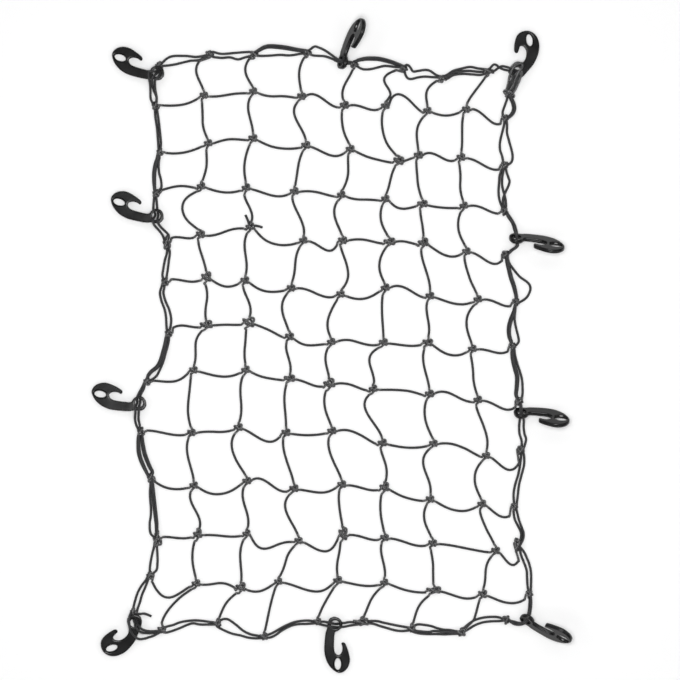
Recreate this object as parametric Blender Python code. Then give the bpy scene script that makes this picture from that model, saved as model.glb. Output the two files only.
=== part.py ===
"""Elastic cargo net laid flat on a floor, with its ten moulded hooks.

One long elastic cord is tied on itself in eight by twelve meshes and doubled round the
edge.  Ten moulded plastic hooks are strung on the edge cords by the eye at their end.
The net is one solid (the cord is knotted to itself and never comes apart) and each hook
is a solid of its own.  Metres, +Z up, the net rests on z = 0.
"""
import math

import bmesh
import bpy
import numpy as np
from mathutils.geometry import tessellate_polygon

for old in list(bpy.data.objects):
    bpy.data.objects.remove(old, do_unlink=True)

# ---------------------------------------------------------------- named sizes
STEP = 0.0016            # one step of the layout tables, metres
MIDDLE_X = 331.5         # layout spot that lies over the origin: x runs to the right,
MIDDLE_Y = 346.285        # y runs from the far edge to the near edge
CORD = 0.0040            # cord over its braided cover
CORD_TALL = 0.0038       # cord height once it lies on the floor
KNOT_TOP = 0.0092        # a drawn-up knot stands a little over two cords high
KNOT_EAR = 0.0056        # the turns that stick out at a knot's corners
KNOT_REACH = 4.2         # steps from the middle of a knot to where the cords leave it
HOOK_THICK = 0.0070      # moulded plate of a hook
HOOK_BEVEL = 0.0011      # its rounded edges
RIM_LIFT = 0.0047        # a flat hook's eye rides this high over the cord that goes under it

COLUMNS = "ABCDEFGHI"

# Knots in steps (x, y): one row for each row of knots, columns A to I.
KNOT_ROWS = (
    ((160.5, 62.5), (205, 56.5), (255, 54), (308.5, 52.5), (354.5, 63.5),
     (404, 68), (443, 78), (489, 71), (508, 94)),
    ((155, 105), (203.5, 96), (253, 92), (301, 97), (344, 106),
     (385, 106.5), (427, 111.5), (465.5, 110), (505.5, 119)),
    ((159.5, 151.5), (208, 144), (252.5, 139), (305.5, 146), (350, 150),
     (398, 161.5), (418, 156), (460.5, 158), (505, 166)),
    ((155.5, 193), (201, 187), (246, 188.5), (294, 192), (341, 195.5),
     (385, 199.5), (422, 204.5), (463.5, 206.5), (505, 212)),
    ((166, 242), (200, 235), (250, 227.5), (303, 241), (342, 241),
     (389, 242.5), (423, 243.5), (466, 252), (506, 255)),
    ((164.5, 281), (206, 278), (244.5, 281), (290.5, 288.5), (340, 294.5),
     (385, 288.5), (429.5, 296.5), (477.5, 300), (516.5, 303)),
    ((168, 332.5), (206, 325.5), (248, 323), (289, 337), (331, 342.5),
     (383, 343), (427, 343), (472, 349.5), (513, 347)),
    ((146.5, 381), (193, 370.5), (245.5, 370.5), (289, 379), (329, 384.5),
     (373, 389.5), (429, 394.5), (477.5, 400.5), (520, 401.5)),
    ((140.5, 431), (191, 433), (238, 428), (285.5, 433), (331.5, 431.5),
     (382, 443.5), (433, 444), (485.5, 456), (522, 457)),
    ((150, 477), (193.5, 486), (246.5, 481.5), (293.5, 489), (341.5, 485),
     (384, 488), (429.5, 499.5), (481.5, 504.5), (514.5, 511)),
    ((156.5, 538), (197.5, 535), (246.5, 534), (298, 541), (342.5, 535),
     (384, 538), (432, 543.5), (495, 551), (521.5, 554)),
    ((149.5, 575), (196, 584), (240.5, 588), (278, 582), (337.5, 581),
     (384, 583), (433, 590.5), (482, 594.5), (530, 595)),
    ((133, 611), (161.5, 630), (217, 624), (263.5, 637), (317, 622),
     (360.5, 622.5), (411, 629), (460, 633), (507, 620)),
)

# Small joins where edge cords part or meet between knots (x, y), in steps.
JOINS = {"near_top_hook": (333, 57.5), "over_A7": (161, 361),
         "under_right_hook": (521, 424.5), "beside_H12": (473.5, 620.5),
         "beside_D12": (251.5, 636), "over_F1": (390.5, 96.5)}

# Knots that were not drawn up round: reach across and reach down, in steps.
LONG_KNOTS = {
    "H0": (5.6, 4.2), "I0": (4.2, 4.6), "F2": (5.6, 5.2), "G3": (5.8, 4.4), "A4": (4.4, 7.5),
    "F4": (6.6, 4.8), "G4": (5.4, 5.2), "B5": (5.2, 6.6), "B6": (6.4, 4.8), "C6": (6.4, 6.4),
    "D7": (6.2, 4.4), "E7": (6.2, 6.2), "G6": (5.4, 4.4), "F9": (5.2, 6.2), "A9": (4.2, 5.4),
    "A10": (5.0, 8.8), "B10": (4.4, 6.0), "E10": (4.8, 9.4), "I10": (4.2, 8.6),
    "C11": (5.4, 6.2), "G11": (8.6, 4.2), "H11": (4.4, 5.0), "F12": (8.6, 4.6),
    "H12": (5.4, 4.4), "A12": (3.4, 3.4), "near_top_hook": (3.0, 3.0), "over_A7": (3.6, 3.6),
    "under_right_hook": (3.2, 3.2), "beside_H12": (3.0, 3.0), "beside_D12": (3.2, 3.0),
    "over_F1": (3.0, 3.0),
}

# Where a cord climbs from a knot to a hook's eye it leaves the knot this high, metres:
# knot, side of the knot the hook is on (hook name).
CLIMBS = {("I7", "hook_right_lower"): 0.0046, ("E0", "hook_far_middle"): 0.0044,
          ("E12", "hook_near_middle"): 0.0026}
LIFTED_JOINS = {"near_top_hook": 0.0050, "under_right_hook": 0.0030}

# How far each cord bows from the straight line between its two knots, in steps, at a
# third and at two thirds of its way.  Cords across: rows 1 to 11, meshes A-B to H-I,
# towards the near edge.
BOW_ACROSS = (
    ((3.7, 4.7), (1.5, 0), (2.8, 0.5), (-6, 1), (-1.2, 3.9), (-6.4, -1.3), (4.4, 4.5), (-2.2, 6.5)),
    ((4.5, 4.2), (-2.3, -1.7), (4.9, 5.1), (3.7, 7.8), (2.7, 2.8), (0.3, 0.2), (-4.1, 3), (-0.2, 5.3)),
    ((-3.4, -3.3), (3.7, 4.5), (2.8, 5.7), (-2.2, -0.3), (2.8, 1), (7.3, 4.9), (2, 1.9), (-2.8, 1.8)),
    ((-2.5, 1.5), (2.2, -1.3), (9.5, 8.7), (2.7, 10.3), (-2.5, -0.6), (-2.5, -0.7), (5.2, 7.8), (2.8, 9.7)),
    ((-0.2, 3), (6, 6.7), (6.3, 5.8), (-1.1, 4), (6.5, 6.7), (-5.7, -0.8), (3.6, 5.7), (-1.4, 3.5)),
    ((-4.6, -0.7), (0, 0.8), (-0.5, 0.2), (6, 4), (-3, 1.6), (1.5, 2.9), (6.8, 8.3), (0.8, 5.3)),
    ((3.9, 6.8), (4.2, 6.1), (3.2, 2.5), (0, 3.5), (-3.3, -0.6), (-1.4, -1.7), (-5.1, 0.4), (2, 8.4)),
    ((0, 2.5), (0, 2.3), (5.3, 10.7), (2.5, 2.7), (-5.5, -2.1), (3.1, 3.8), (-4.5, -2.3), (6.7, 13.3)),
    ((7, 6), (9.3, 9), (-5.3, 3.1), (3.5, 6.1), (0, 3), (3.4, 3.8), (6.6, 8.2), (4.9, 8.3)),
    ((0.2, 2.4), (0.3, 2.2), (12.4, 4.3), (8.4, 14), (-1, 2.3), (0.5, 3.8), (-0.3, 1.3), (6.8, 12)),
    ((19, 11.7), (-1, -4.1), (6, 5.5), (5.3, 10.2), (2.3, 3.6), (3.1, 4), (2, 5.4), (5.6, 8.2)),
)

# Cords that run down: columns B to H, rows 0-1 to 11-12, towards the right.
BOW_DOWN = {
    "B": ((-8.3, -4), (-2, -3.5), (1.6, 2.2), (-17.4, -14.3), (-1.7, 0.3), (2, -0.8),
          (-5.7, -1.3), (-2.8, -3.7), (-4.8, -1.7), (-3.5, 3.5), (-4.3, -3.3), (-6.5, -7.8)),
    "C": ((-8.7, -6.3), (-4.8, -1.3), (-4.3, -4), (-0.6, 4), (-3.6, 0.4), (0.6, 4.2),
          (-1.2, -2.1), (-2.6, 1), (-9.2, -5.7), (-3.5, 1.5), (-4.2, -1.3), (-4.4, -3.3)),
    "D": ((-6, -4.1), (-8.5, -2.4), (-2.5, -1), (-1.3, 3), (-2.8, 0), (-8, -4.7),
          (-2.4, 1.7), (-3.4, -1.2), (-4, -0.9), (-10, -4.5), (-3.6, -0.5), (-1.5, -0.8)),
    "E": ((-2.3, -5.8), (-3.8, -3.5), (1.5, 3.2), (-7.3, -4), (3.7, 7.6), (-5.8, -7),
          (-5, -2.3), (-5.6, -3.7), (-5.7, -2.2), (-2.8, -1.2), (-0.8, -2.5), (-1.2, -1.8)),
    "F": ((-14.9, -7.7), (-7.3, -7), (-2, 0), (-5.8, -4.7), (-7.2, -6.5), (-2.3, -1),
          (-10.3, -3.3), (-11.2, -3.8), (1.5, 3.7), (-3.6, -2.4), (-2.7, 0.7), (-3.3, -1.5)),
    "G": ((-9.9, -5.8), (-6.3, -4), (-2.1, -2.3), (-0.8, 0.3), (-2, 1.1), (-1.9, 1.5),
          (-4.5, -1.5), (-5.8, -4.3), (-8.8, -1.7), (-6.5, -4.2), (0.7, 0.3), (-5.2, -3.3)),
    "H": ((-0.7, -2.3), (-1.6, 0), (-0.6, -2.5), (-6.2, -5.1), (-3.1, -2), (-8.5, -6.1),
          (-0.8, -2), (0.8, 4.2), (-8.8, -6.8), (-3.2, -1.1), (-4.4, -0.9), (-0.5, 0)),
}

# Edge cords between two knots: from, to, bow at a third, bow at two thirds (steps,
# towards the near edge or the right), width over the cords that lie together (mm).
EDGE_CORDS = (
    ("A0", "B0", -3.7, -2.2, 5.6), ("A0", "B0", 4.0, 2.8, 4.6),
    ("B0", "C0", -1.9, -2.2, 4.0), ("B0", "C0", 2.6, 4.6, 4.0),
    ("C0", "D0", -7.2, -4.4, 6.2), ("C0", "D0", 2.1, 2.4, 4.0),
    ("D0", "near_top_hook", -7.1, -5.2, 4.0), ("D0", "near_top_hook", 1.8, 1.2, 4.0),
    ("E0", "F0", -7.5, -6.0, 6.0), ("E0", "F0", 4.3, 0.4, 4.0),
    ("F0", "G0", -0.6, -3.7, 4.0), ("F0", "G0", 7.4, 2.6, 4.0),
    ("G0", "H0", -6.8, -6.2, 4.0), ("G0", "H0", -2.2, -0.6, 6.2),
    ("I0", "I1", -1.9, -3.3, 4.0), ("I0", "I1", 5.6, 7.5, 5.6),
    ("I1", "I2", -3.6, -5.1, 5.0), ("I1", "I2", 2.6, 6.4, 5.0),
    ("I2", "I3", -4.8, -5.2, 6.4), ("I2", "I3", 4.3, 0.4, 4.8),
    ("I4", "I5", -1.6, 1.2, 6.0), ("I4", "I5", 5.6, 17.0, 4.0),
    ("I5", "I6", -4.8, -5.8, 6.0), ("I5", "I6", -0.2, 2.1, 4.0),
    ("I6", "I7", -1.9, -1.0, 5.2), ("I6", "I7", 2.4, 4.2, 4.0),
    ("under_right_hook", "I8", -2.6, -0.9, 4.0), ("under_right_hook", "I8", 2.2, 4.2, 4.0),
    ("I8", "I9", 0.0, -1.2, 8.6), ("I9", "I10", 3.0, 1.6, 6.6), ("I10", "I11", 3.4, 1.6, 8.2),
    ("beside_H12", "I12", -3.3, -3.9, 4.4), ("H12", "beside_H12", -0.6, -0.6, 5.0),
    ("H12", "I12", -3.2, -2.2, 4.0),
    ("G12", "H12", -5.1, -2.2, 4.4), ("G12", "H12", 3.7, 2.9, 5.0),
    ("F12", "G12", -2.9, -1.5, 4.0), ("F12", "G12", 1.4, 3.3, 4.0),
    ("D12", "E12", -3.0, -4.7, 7.2),
    ("C12", "beside_D12", -8.0, -3.6, 4.0), ("C12", "beside_D12", 4.0, 3.4, 5.4),
    ("beside_D12", "D12", 0.0, 0.0, 7.0),
    ("B12", "C12", -5.5, -5.9, 4.4), ("B12", "C12", 0.5, -2.1, 4.0),
    ("A11", "A12", -4.1, -3.1, 5.2), ("A11", "A12", 1.3, 2.5, 5.2),
    ("A10", "A11", -1.2, -1.2, 4.0), ("A10", "A11", 3.8, 5.6, 4.6),
    ("A9", "A10", -2.3, -3.9, 4.0), ("A9", "A10", 1.6, 1.2, 4.4),
    ("A8", "A9", -5.3, -6.1, 5.6), ("A8", "A9", -0.7, 0.5, 5.6),
    ("A6", "over_A7", 0.8, 0.7, 7.6),
    ("over_A7", "A7", -0.2, -2.6, 4.2), ("over_A7", "A7", 4.6, 6.2, 4.2),
    ("A5", "A6", -3.2, 1.2, 7.2), ("A4", "A5", 2.3, 0.5, 7.6),
    ("A2", "A3", -3.4, -3.0, 5.8), ("A2", "A3", 1.0, 3.9, 4.0),
    ("A1", "A2", 0.4, 1.0, 7.0),
)

# Outline of a straight hook, steps from the middle of its eye: along it, and towards
# its beak.  From the eye's end down the back, round the head, up the beak, round the
# mouth and back along the arm.
STRAIGHT_HOOK = (
    (-7.7, -1.5), (-6.0, -5.2), (-2.4, -7.2), (3.5, -7.9), (8.0, -9.4), (17.0, -10.5),
    (27.0, -10.8), (35.0, -9.2), (41.5, -5.8), (46.0, -1.5), (48.6, 3.5), (47.6, 8.2),
    (43.5, 12.4), (37.0, 14.6), (29.0, 13.6), (19.2, 9.9), (18.8, 6.3), (22.5, 7.2),
    (27.0, 6.9), (30.4, 4.8), (30.6, 1.8), (27.0, -0.8), (20.0, -1.3), (8.5, -0.4),
    (6.2, 3.2), (2.6, 6.5), (-2.6, 6.7), (-6.2, 3.4),
)

# Outline of a bent hook, whose arm turns towards the beak before the head.
BENT_HOOK = (
    (-8.5, -0.5), (-6.8, -5.4), (-2.5, -7.5), (3.0, -6.9), (8.5, -4.8), (16.5, -1.5),
    (22.0, 2.0), (27.0, 6.5), (31.0, 12.0), (33.3, 18.5), (32.8, 25.5), (29.2, 30.8),
    (23.5, 33.3), (17.5, 32.8), (12.0, 28.2), (6.9, 19.8), (8.6, 16.6), (11.5, 19.0),
    (14.2, 21.3), (17.2, 19.6), (17.6, 14.5), (15.0, 9.6), (11.0, 6.3), (5.8, 5.6),
    (-2.5, 7.2), (-6.8, 4.6),
)

# Oval hole in the head: middle along and towards the beak, half length, half width,
# and how far it is turned towards the beak, degrees.
STRAIGHT_OVAL = (39.8, 2.6, 5.8, 3.1, 0.0)
BENT_OVAL = (25.4, 22.6, 5.8, 3.0, 72.0)
EYE_HOLE = 4.3           # radius of the eye's hole, steps

# The ten hooks: name, outline, eye x, eye y (steps), heading of the arm (degrees,
# anticlockwise from the right), side of the beak (+1 left of the arm), roll on to its
# back edge, and how far the eye (flat hook) or the head (rolled hook) is raised, degrees.
HOOKS = (
    ("hook_far_left", "straight", 157.2, 73.0, 161.5, -1, 0, 5.0),
    ("hook_far_middle", "straight", 342.9, 62.5, 75.5, -1, 60, 16.0),
    ("hook_far_right", "bent", 517.0, 72.0, 27.0, 1, 0, 4.6),
    ("hook_right_upper", "straight", 516.2, 239.0, -5.5, -1, 57, 6.0),
    ("hook_right_lower", "straight", 521.0, 413.2, -2.8, -1, 54, 6.0),
    ("hook_near_right", "straight", 527.0, 619.0, -30.5, 1, 58, 5.0),
    ("hook_near_middle", "straight", 335.2, 624.0, -90.0, 1, 0, 3.8),
    ("hook_near_left", "bent", 134.5, 622.5, -90.0, -1, 0, 4.6),
    ("hook_left_lower", "straight", 139.2, 403.0, 170.8, -1, 0, 4.2),
    ("hook_left_upper", "straight", 156.6, 216.0, 163.5, -1, 0, 5.0),
)

# Edge cords that go through a hook's eye: from, spots on the way to the eye, hook,
# spots on the way on, to, width over the cords (mm), how far below the middle of the
# eye they lie (mm).  The cords go under the first side of a flat hook's eye and over
# its second side.
THROUGH_EYES = (
    ("A0", (), "hook_far_left", ((152.6, 86), (152.8, 96)), "A1", 7.6, 0.0),
    ("near_top_hook", (), "hook_far_middle", (), "E0", 6.4, 1.0),
    ("H0", ((500, 67.8),), "hook_far_right", ((512.6, 85.0),), "I0", 9.6, 0.0),
    ("I3", ((511, 222),), "hook_right_upper", ((512.5, 248.5),), "I4", 6.6, 0.75),
    ("I7", (), "hook_right_lower", (), "under_right_hook", 6.4, 0.85),
    ("I11", ((530.2, 606),), "hook_near_right", ((518.5, 625),), "I12", 6.6, 0.5),
    ("F12", ((347.5, 625),), "hook_near_middle", (), "E12", 7.0, 0.0),
    ("A12", (), "hook_near_left", ((149.0, 631.5), (154.0, 634.2)), "B12", 6.6, 0.0),
    ("A7", ((139.8, 393.5),), "hook_left_lower", ((137.6, 418),), "A8", 7.2, 0.0),
    ("A3", ((154.3, 204),), "hook_left_upper", ((160.6, 230.8),), "A4", 7.0, 0.0),
)

# Loose cut ends: knot, spots along the end (steps).
LOOSE_ENDS = (
    ("C4", ((247.5, 220.5), (245.5, 215.0))),
    ("C4", ((256.0, 225.4), (262.5, 227.2))),
    ("A12", ((143.0, 613.2), (151.5, 616.4))),
)


# ---------------------------------------------------------------- helpers
def spot(x, y, z=0.0):
    """World point of a layout spot."""
    return np.array(((x - MIDDLE_X) * STEP, (MIDDLE_Y - y) * STEP, z))


def unit(vector):
    """Vector of length one."""
    return vector / np.linalg.norm(vector)


def turned(vector):
    """Level vector a quarter turn to the left."""
    return np.array((-vector[1], vector[0], 0.0))


def bowed(start, end, bow, down):
    """Function of t from 0 to 1: the straight line plus the cubic that gives both bows."""
    side = np.array((1.0, 0.0, 0.0)) if down else np.array((0.0, -1.0, 0.0))

    def point(t):
        first = 13.5 * t * (t - 2.0 / 3.0) * (t - 1.0)
        second = -13.5 * t * (t - 1.0 / 3.0) * (t - 1.0)
        return start + (end - start) * t + side * (first * bow[0] + second * bow[1]) * STEP

    return point


def principled(name, rgb, roughness, sheen=0.0):
    """Plain Principled material."""
    material = bpy.data.materials.new(name)
    material.use_nodes = True
    shader = material.node_tree.nodes["Principled BSDF"]
    shader.inputs["Base Color"].default_value = (*rgb, 1.0)
    shader.inputs["Roughness"].default_value = roughness
    shader.inputs["Sheen Weight"].default_value = sheen
    material.diffuse_color = (*rgb, 1.0)
    return material


def mesh_object(name, vertices, faces, material):
    """Closed mesh object with faces turned outwards."""
    mesh = bpy.data.meshes.new(name)
    mesh.from_pydata([tuple(v) for v in vertices], [], faces)
    mesh.update()
    work = bmesh.new()
    work.from_mesh(mesh)
    bmesh.ops.recalc_face_normals(work, faces=work.faces)
    bmesh.ops.triangulate(work, faces=work.faces)
    work.to_mesh(mesh)
    work.free()
    mesh.materials.append(material)
    item = bpy.data.objects.new(name, mesh)
    bpy.context.scene.collection.objects.link(item)
    return item


# ---------------------------------------------------------------- hooks
def hook_frame(row):
    """Eye middle, along, beakwards and upwards vectors of a hook as it lies."""
    name, kind, x, y, heading, side, roll, rise = row
    turn = math.radians(heading)
    tip = math.radians(roll)
    along = np.array((math.cos(turn), math.sin(turn), 0.0))
    across = turned(along) * side
    if roll:
        beak = across * math.cos(tip) + np.array((0.0, 0.0, math.sin(tip)))
        over = np.cross(along, beak) * side
        rest = math.radians(rise)
        along, beak = (along * math.cos(rest) + beak * math.sin(rest),
                       beak * math.cos(rest) - along * math.sin(rest))
        return spot(x, y), along, beak, over
    pitch = math.radians(rise)
    along = along * math.cos(pitch) - np.array((0.0, 0.0, math.sin(pitch)))
    over = np.cross(along, across) * side
    return spot(x, y), along, across, over


def hook_loops(kind):
    """Outline, eye hole and oval hole of a hook in metres along and beakwards."""
    outline = np.array(STRAIGHT_HOOK if kind == "straight" else BENT_HOOK) * STEP
    middle_a, middle_b, long, wide, lean = STRAIGHT_OVAL if kind == "straight" else BENT_OVAL
    lean = math.radians(lean)
    round_eye = []
    oval = []
    for k in range(8):
        angle = 2.0 * math.pi * (k + 0.5) / 8
        round_eye.append((EYE_HOLE * math.cos(angle) * STEP, EYE_HOLE * math.sin(angle) * STEP))
        a = long * math.cos(angle) * 1.03
        b = wide * math.sin(angle) * 1.03
        oval.append(((middle_a + a * math.cos(lean) - b * math.sin(lean)) * STEP,
                     (middle_b + a * math.sin(lean) + b * math.cos(lean)) * STEP))
    return outline, np.array(round_eye), np.array(oval)


def inset(loop, amount):
    """Loop with each side moved inwards by the amount (the loop runs anticlockwise)."""
    before = loop - np.roll(loop, 1, axis=0)
    after = np.roll(loop, -1, axis=0) - loop
    before /= np.linalg.norm(before, axis=1)[:, None]
    after /= np.linalg.norm(after, axis=1)[:, None]
    inwards = np.stack((-(before + after)[:, 1], (before + after)[:, 0]), axis=1)
    inwards /= np.linalg.norm(inwards, axis=1)[:, None]
    normal = np.stack((-after[:, 1], after[:, 0]), axis=1)
    stretch = np.clip((inwards * normal).sum(axis=1), 0.6, 1.0)
    return loop + inwards * (amount / stretch)[:, None]


def hook_object(row, material):
    """One moulded hook: bevelled plate with an eye at one end and an oval hole in the head."""
    middle, along, beak, over = hook_frame(row)
    outline, eye, oval = hook_loops(row[1])
    half = HOOK_THICK / 2.0
    layers = ((-half, HOOK_BEVEL), (-half + HOOK_BEVEL, 0.0), (half - HOOK_BEVEL, 0.0), (half, HOOK_BEVEL))
    points = []
    for height, bevel in layers:
        ring = inset(outline, bevel) if bevel else outline
        points += [(a, b, height) for a, b in ring]
    count = len(outline)
    faces = []
    for layer in range(3):
        for k in range(count):
            n = (k + 1) % count
            faces.append((layer * count + k, layer * count + n, (layer + 1) * count + n, (layer + 1) * count + k))
    starts = []
    for loop in (eye, oval):
        starts.append(len(points))
        size = len(loop)
        points += [(a, b, -half) for a, b in loop] + [(a, b, half) for a, b in loop]
        for k in range(size):
            n = (k + 1) % size
            low = starts[-1]
            faces.append((low + k, low + size + k, low + size + n, low + n))
    for bottom, first in ((True, 0), (False, 3 * count)):
        shift = 0 if bottom else len(eye)
        index = list(range(first, first + count))
        loops = [[(points[i][0], points[i][1], 0.0) for i in index]]
        for start, loop in zip(starts, (eye, oval)):
            own = list(range(start + shift, start + shift + len(loop)))
            loops.append([(points[i][0], points[i][1], 0.0) for i in own])
            index += own
        for tri in tessellate_polygon(loops):
            faces.append(tuple(index[i] for i in tri))
    world = [middle + along * a + beak * b + over * c for a, b, c in points]
    lowest = min(point[2] for point in world)
    world = [point - np.array((0.0, 0.0, lowest)) for point in world]
    return mesh_object(row[0], world, faces, material), -lowest


plastic = principled("hook_plastic", (0.012, 0.012, 0.013), 0.38)
elastic = principled("elastic_cord", (0.020, 0.020, 0.021), 0.75, 0.3)

EYE_HEIGHT = {}
for hook_row in HOOKS:
    hook, rise = hook_object(hook_row, plastic)
    EYE_HEIGHT[hook_row[0]] = rise

# ---------------------------------------------------------------- the knotted net
knots = {}
for r, row in enumerate(KNOT_ROWS):
    for c, (x, y) in enumerate(row):
        knots[COLUMNS[c] + str(r)] = (x, y)
knots.update(JOINS)

# Every stretch of cord: from, to, function of t giving its middle line, width, number
# of pieces, and for cords through an eye the ready made line.
stretches = []


def add_stretch(start, end, bow, down, width):
    """Cord from knot to knot, with as few straight pieces as keep its curve."""
    curve = bowed(spot(*knots[start]), spot(*knots[end]), bow, down)
    stretches.append({"from": start, "to": end, "curve": curve, "width": width, "line": None})


# Three cords stop at a small join on their way: knot after it and join.
STOPS_AT = {("H11", "H12"): ("H11", "beside_H12"), ("F0", "F1"): ("F0", "over_F1"),
            ("F1", "G1"): ("over_F1", "G1")}
for r, bows in enumerate(BOW_ACROSS, start=1):
    for c, bow in enumerate(bows):
        pair = (COLUMNS[c] + str(r), COLUMNS[c + 1] + str(r))
        add_stretch(*STOPS_AT.get(pair, pair), bow, False, CORD)
for column, bows in BOW_DOWN.items():
    for r, bow in enumerate(bows):
        pair = (column + str(r), column + str(r + 1))
        add_stretch(*STOPS_AT.get(pair, pair), bow, True, CORD)
add_stretch("over_F1", "F1", (0.0, 0.0), True, 1.5 * CORD)
for start, end, bow_a, bow_b, width in EDGE_CORDS:
    sideways = start[0] + end[0] in ("AA", "II", "oA", "Ao", "uI")
    add_stretch(start, end, (bow_a, bow_b), sideways, width / 1000.0)



def rim_of_eye(row, direction):
    """How far a hook's outline reaches from the middle of its eye in a level direction."""
    middle, along, beak, over = hook_frame(row)
    outline, eye_hole, oval_hole = hook_loops(row[1])
    flat = np.array((np.dot(direction, along), np.dot(direction, beak)))
    flat /= np.linalg.norm(flat)
    furthest = 0.0
    for a, b in zip(outline, np.roll(outline, -1, axis=0)):
        side = b - a
        cross = flat[0] * side[1] - flat[1] * side[0]
        if abs(cross) < 1e-9:
            continue
        away = (a[0] * side[1] - a[1] * side[0]) / cross
        share = (a[0] * flat[1] - a[1] * flat[0]) / cross
        if 0.0 <= share <= 1.0 and 0.0 < away < 0.018:
            furthest = max(furthest, away)
    return furthest


hook_rows = {row[0]: row for row in HOOKS}
for start, way_in, hook_name, way_on, end, width, below in THROUGH_EYES:
    row = hook_rows[hook_name]
    eye = spot(row[2], row[3])
    height = EYE_HEIGHT[hook_name] - below / 1000.0
    towards = unit(spot(*(way_in[-1] if way_in else knots[start])) - eye)
    onwards = unit(spot(*(way_on[0] if way_on else knots[end])) - eye)
    low = CORD_TALL / 2.0 + 0.0001
    if row[6]:
        square = unit(turned(hook_frame(row)[1]) * np.array((1.0, 1.0, 0.0)))
        towards = unit(towards + square * np.sign(np.dot(square, towards)) * 2.0)
        onwards = unit(onwards + square * np.sign(np.dot(square, onwards)) * 2.0)
        middle_line = [(eye + towards * 0.0088, height), (eye, height), (eye + onwards * 0.0088, height)]
        width_in_eye = 0.0048
    else:
        top = height + HOOK_THICK / 2.0 + 0.0030
        past = rim_of_eye(row, onwards) + 0.0008
        middle_line = [(eye + towards * 0.0125, low), (eye + towards * 0.0048, low),
                       (eye + onwards * 0.0042, top), (eye + onwards * past, top - 0.0002),
                       (eye + onwards * (past + 0.0070), low + 0.0026)]
        width_in_eye = 0.0048
    line = [(spot(*p) + np.array((0.0, 0.0, low)), width / 1000.0) for p in way_in]
    line += [(np.array((p[0], p[1], h)), width_in_eye) for p, h in middle_line]
    line += [(spot(*p) + np.array((0.0, 0.0, low)), width / 1000.0) for p in way_on]
    stretches.append({"from": start, "to": end, "curve": None, "width": width / 1000.0,
                      "line": line, "hook": hook_name})


def reach_of(name):
    """Half width and half height of a knot, metres."""
    wide, tall = LONG_KNOTS.get(name, (KNOT_REACH, KNOT_REACH))
    return wide * STEP, tall * STEP


def rim(name, angle):
    """Distance from a knot's middle to its rim in a direction."""
    wide, tall = reach_of(name)
    return 1.0 / math.hypot(math.cos(angle) / wide, math.sin(angle) / tall)


def leaving(curve, name, backwards):
    """t at which the cord's middle line leaves a knot, and its angle there."""
    centre = spot(*knots[name])
    wide, tall = reach_of(name)
    for k in range(1, 200):
        t = k / 200.0
        p = curve(1.0 - t if backwards else t) - centre
        if math.hypot(p[0] / wide, p[1] / tall) >= 1.0:
            return (1.0 - t if backwards else t), math.atan2(p[1], p[0])
    raise ValueError("cord never leaves " + name)


FLAT = np.array((1.0, 1.0, 0.0))
ports = {name: [] for name in knots}
for number, stretch in enumerate(stretches):
    for key, backwards in (("from", False), ("to", True)):
        name = stretch[key]
        if stretch["curve"] is not None:
            t, angle = leaving(stretch["curve"], name, backwards)
            stretch[key + "_t"] = t
        else:
            nearest = stretch["line"][-1 if backwards else 0][0]
            centre = spot(*knots[name])
            angle = math.atan2(nearest[1] - centre[1], nearest[0] - centre[0])
        ports[name].append({"stretch": number, "key": key, "angle": angle, "width": stretch["width"],
                            "climb": CLIMBS.get((name, stretch.get("hook")), 0.0)})
tails = []
for number, (name, way) in enumerate(LOOSE_ENDS):
    centre = spot(*knots[name])
    first = spot(*way[0])
    angle = math.atan2(first[1] - centre[1], first[0] - centre[0])
    tails.append([spot(*p) for p in way])
    ports[name].append({"stretch": -1 - number, "key": "tail", "angle": angle, "width": CORD,
                        "climb": 0.0})

vertices = []
faces = []


def vertex(point):
    """Adds a point of the net and gives its number."""
    vertices.append(np.array(point, dtype=float))
    return len(vertices) - 1


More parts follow.
